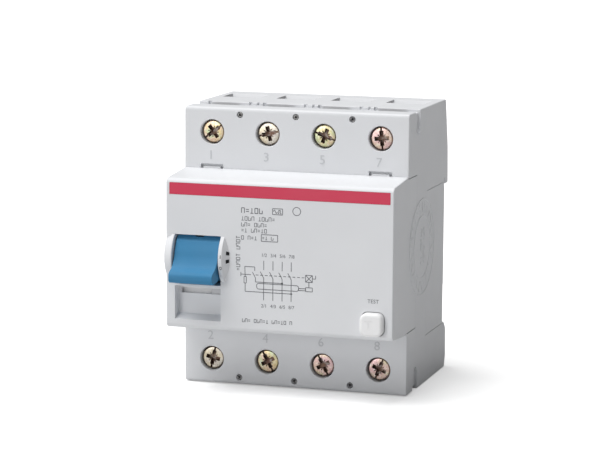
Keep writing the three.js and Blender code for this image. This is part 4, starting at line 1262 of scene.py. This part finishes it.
class RCD_OT_print(bpy.types.Operator):
    """Print the wiring diagram, rows of filler signs and the test caption"""

    bl_idname = "rcd.print"
    bl_label = "Print on the nose"

    def execute(self, context):
        settings = context.scene.rcd_front
        width, height = settings.line_width / MM, settings.ink_height / MM
        bm = bmesh.new()
        text_rows(bm, width, height)
        circuit(bm, width, height)
        letters(bm, "TEST", (29.05, -10.92), 1.12, height, face_spot)
        print_piece = new_object("print", bm)
        publish(print_piece, "nose_print", "housing", paint("ink"))
        return {"FINISHED"}


def cheek_spot(x, z, height):
    """A point on the round wall right of the toggle, at a height above its surface."""
    edge = WINDOW["x"][1] + CHEEK["flat"]
    slope = (CHEEK["radius"] - CHEEK["rim"]) / (CHEEK["width"] - CHEEK["flat"])
    radius = CHEEK["radius"] - max(0.0, x - edge) * slope
    turn = math.asin((z - TOGGLE_AXIS[1]) / CHEEK["radius"])
    reach = radius + height
    return (x, TOGGLE_AXIS[0] - reach * math.cos(turn), TOGGLE_AXIS[1] + reach * math.sin(turn))


class RCD_OT_cheek_marks(bpy.types.Operator):
    """Mark the on and off positions beside the toggle"""

    bl_idname = "rcd.cheek_marks"
    bl_label = "Toggle marks"

    def execute(self, context):
        height = context.scene.rcd_front.ink_height / MM
        bm = bmesh.new()
        x = WINDOW["x"][1] + CHEEK["flat"] * 0.7
        stroke(bm, (x, -0.4), (x, 0.6), 0.2, height, cheek_spot, 4)
        circle(bm, (x, -3.3), 0.42, 0.17, height, cheek_spot, across=0.7)
        for low, high in ((0.8, 2.1), (-2.3, -0.9)):
            stroke(bm, (-15.4, low), (-15.4, high), 0.65, height, cheek_spot, 4)
        marks = new_object("marks", bm)
        publish(marks, "toggle_marks", "housing", paint("dark_ink"))
        return {"FINISHED"}


# ---------------------------------------------------------------- stage

KEY_FROM = (-0.7, -0.45, 2.3)
FLOOR_GLOW = 0.35
FLOOR_ROUGHNESS = 0.6
FILL_FROM = (-0.9, -2.2, 0.35)


class RcdStageSettings(bpy.types.PropertyGroup):
    """Floor and lights of the studio."""

    floor_size: bpy.props.FloatProperty(
        name="Floor size", description="Side of the square floor", default=14.0, unit="LENGTH")
    floor_colour: bpy.props.FloatVectorProperty(
        name="Floor colour", description="Colour of the floor", default=(0.97, 0.97, 0.97), subtype="COLOR")
    bounce: bpy.props.FloatProperty(
        name="Floor bounce", description="How much light the floor throws back on the device", default=0.66)
    key_strength: bpy.props.FloatProperty(
        name="Key light", description="Strength of the broad soft light above", default=3.15)
    key_softness: bpy.props.FloatProperty(
        name="Key softness", description="Angle that the key light comes from",
        default=math.radians(50), subtype="ANGLE")
    fill_power: bpy.props.FloatProperty(
        name="Fill light", description="Power of the weak light from the front left", default=11.8, unit="POWER")
    ambient: bpy.props.FloatProperty(
        name="Ambient", description="Strength of the even light all around", default=0.16)


def add_light(name, kind, place, **values):
    """A light that points at the origin."""
    light = bpy.data.lights.new(name, kind)
    for key, value in values.items():
        setattr(light, key, value)
    holder = bpy.data.objects.new(name, light)
    holder.location = place
    holder.rotation_euler = (-Vector(place)).to_track_quat("-Z", "Y").to_euler()
    bpy.context.scene.collection.objects.link(holder)


def add_camera():
    camera = bpy.data.cameras.new("camera")
    camera.lens = CAMERA_LENS
    camera.sensor_width = SENSOR
    camera.clip_end = CAMERA_REACH
    holder = bpy.data.objects.new("camera", camera)
    yaw, pitch = math.radians(CAMERA_YAW), math.radians(CAMERA_PITCH)
    forward = Vector((-math.sin(yaw) * math.cos(pitch), math.cos(yaw) * math.cos(pitch), -math.sin(pitch)))
    right = Vector((math.cos(yaw), math.sin(yaw), 0))
    up = right.cross(forward)
    turn = Matrix((right, up, -forward)).transposed().to_4x4()
    holder.matrix_world = Matrix.Translation(CAMERA_AT) @ turn @ Matrix.Rotation(math.radians(CAMERA_ROLL), 4, "Z")
    bpy.context.scene.collection.objects.link(holder)
    bpy.context.scene.camera = holder


class RCD_OT_stage(bpy.types.Operator):
    """Lay the pale floor, hang the soft lights and set the camera"""

    bl_idname = "rcd.stage"
    bl_label = "Stage"

    def execute(self, context):
        settings = context.scene.rcd_stage
        half = settings.floor_size / 2
        bm = bmesh.new()
        corners = ((-half, -half), (half, -half), (half, half), (-half, half))
        bm.faces.new([bm.verts.new((x, y, -HALF_H * MM)) for x, y in corners])
        floor = new_object("floor", bm)
        material = bpy.data.materials.new("floor")
        material.use_nodes = True
        shader = material.node_tree.nodes["Principled BSDF"]
        mottle = ranged(material.node_tree, object_noise(material.node_tree, 3), 0.3, 0.7, 0.0, 0.02)
        tint = mixed(material.node_tree, mottle, tuple(settings.floor_colour), (0.95, 0.95, 0.95))
        seen = material.node_tree.nodes.new("ShaderNodeLightPath").outputs["Is Camera Ray"]
        tint = mixed(material.node_tree, seen, (settings.bounce,) * 3, tint)
        material.node_tree.links.new(tint, shader.inputs["Base Color"])
        glow = mixed(material.node_tree, seen, (0, 0, 0), (1, 1, 1))
        material.node_tree.links.new(glow, shader.inputs["Emission Color"])
        shader.inputs["Emission Strength"].default_value = FLOOR_GLOW
        shader.inputs["Roughness"].default_value = FLOOR_ROUGHNESS
        shader.inputs["Specular IOR Level"].default_value = 0.2
        floor.data.materials.append(material)
        world = bpy.data.worlds.new("studio")
        world.use_nodes = True
        world.node_tree.nodes["Background"].inputs["Color"].default_value = (1, 1, 1, 1)
        seen = world.node_tree.nodes.new("ShaderNodeLightPath").outputs["Is Camera Ray"]
        strength = ranged(world.node_tree, seen, 0.0, 1.0, settings.ambient, 1.0)
        world.node_tree.links.new(strength, world.node_tree.nodes["Background"].inputs["Strength"])
        context.scene.world = world
        add_light("key", "SUN", KEY_FROM, energy=settings.key_strength, angle=settings.key_softness)
        add_light("fill", "AREA", FILL_FROM, energy=settings.fill_power, shape="SQUARE", size=1.0)
        context.scene.view_settings.view_transform = "Standard"
        add_camera()
        return {"FINISHED"}


# ---------------------------------------------------------------- panel and run

SETTINGS = {
    "rcd_colours": RcdColourSettings, "rcd_housing": RcdHousingSettings,
    "rcd_front": RcdFrontSettings, "rcd_stage": RcdStageSettings}
OPERATORS = (
    RCD_OT_stage, RCD_OT_housing, RCD_OT_rail_side, RCD_OT_numbers, RCD_OT_emblem, RCD_OT_cover, RCD_OT_band,
    RCD_OT_toggle, RCD_OT_button, RCD_OT_flag, RCD_OT_screws, RCD_OT_rivets, RCD_OT_clamps, RCD_OT_inner,
    RCD_OT_winding, RCD_OT_resistor, RCD_OT_print, RCD_OT_cheek_marks)


class RCD_PT_device(bpy.types.Panel):
    """Sizes, colours and building steps of the device."""

    bl_label = "Residual current device"
    bl_idname = "RCD_PT_device"
    bl_space_type = "VIEW_3D"
    bl_region_type = "UI"
    bl_category = "Device"

    def draw(self, context):
        for name, kind in SETTINGS.items():
            for label in kind.__annotations__:
                self.layout.prop(getattr(context.scene, name), label)
        for operator in OPERATORS:
            self.layout.operator(operator.bl_idname)


def register():
    for name, kind in SETTINGS.items():
        bpy.utils.register_class(kind)
        setattr(bpy.types.Scene, name, bpy.props.PointerProperty(type=kind))
    for operator in OPERATORS:
        bpy.utils.register_class(operator)
    bpy.utils.register_class(RCD_PT_device)


def unregister():
    bpy.utils.unregister_class(RCD_PT_device)
    for operator in reversed(OPERATORS):
        bpy.utils.unregister_class(operator)
    for name, kind in SETTINGS.items():
        delattr(bpy.types.Scene, name)
        bpy.utils.unregister_class(kind)


def main():
    register()
    for operator in OPERATORS:
        family, step = operator.bl_idname.split(".")
        getattr(getattr(bpy.ops, family), step)()


if __name__ == "__main__":
    main()
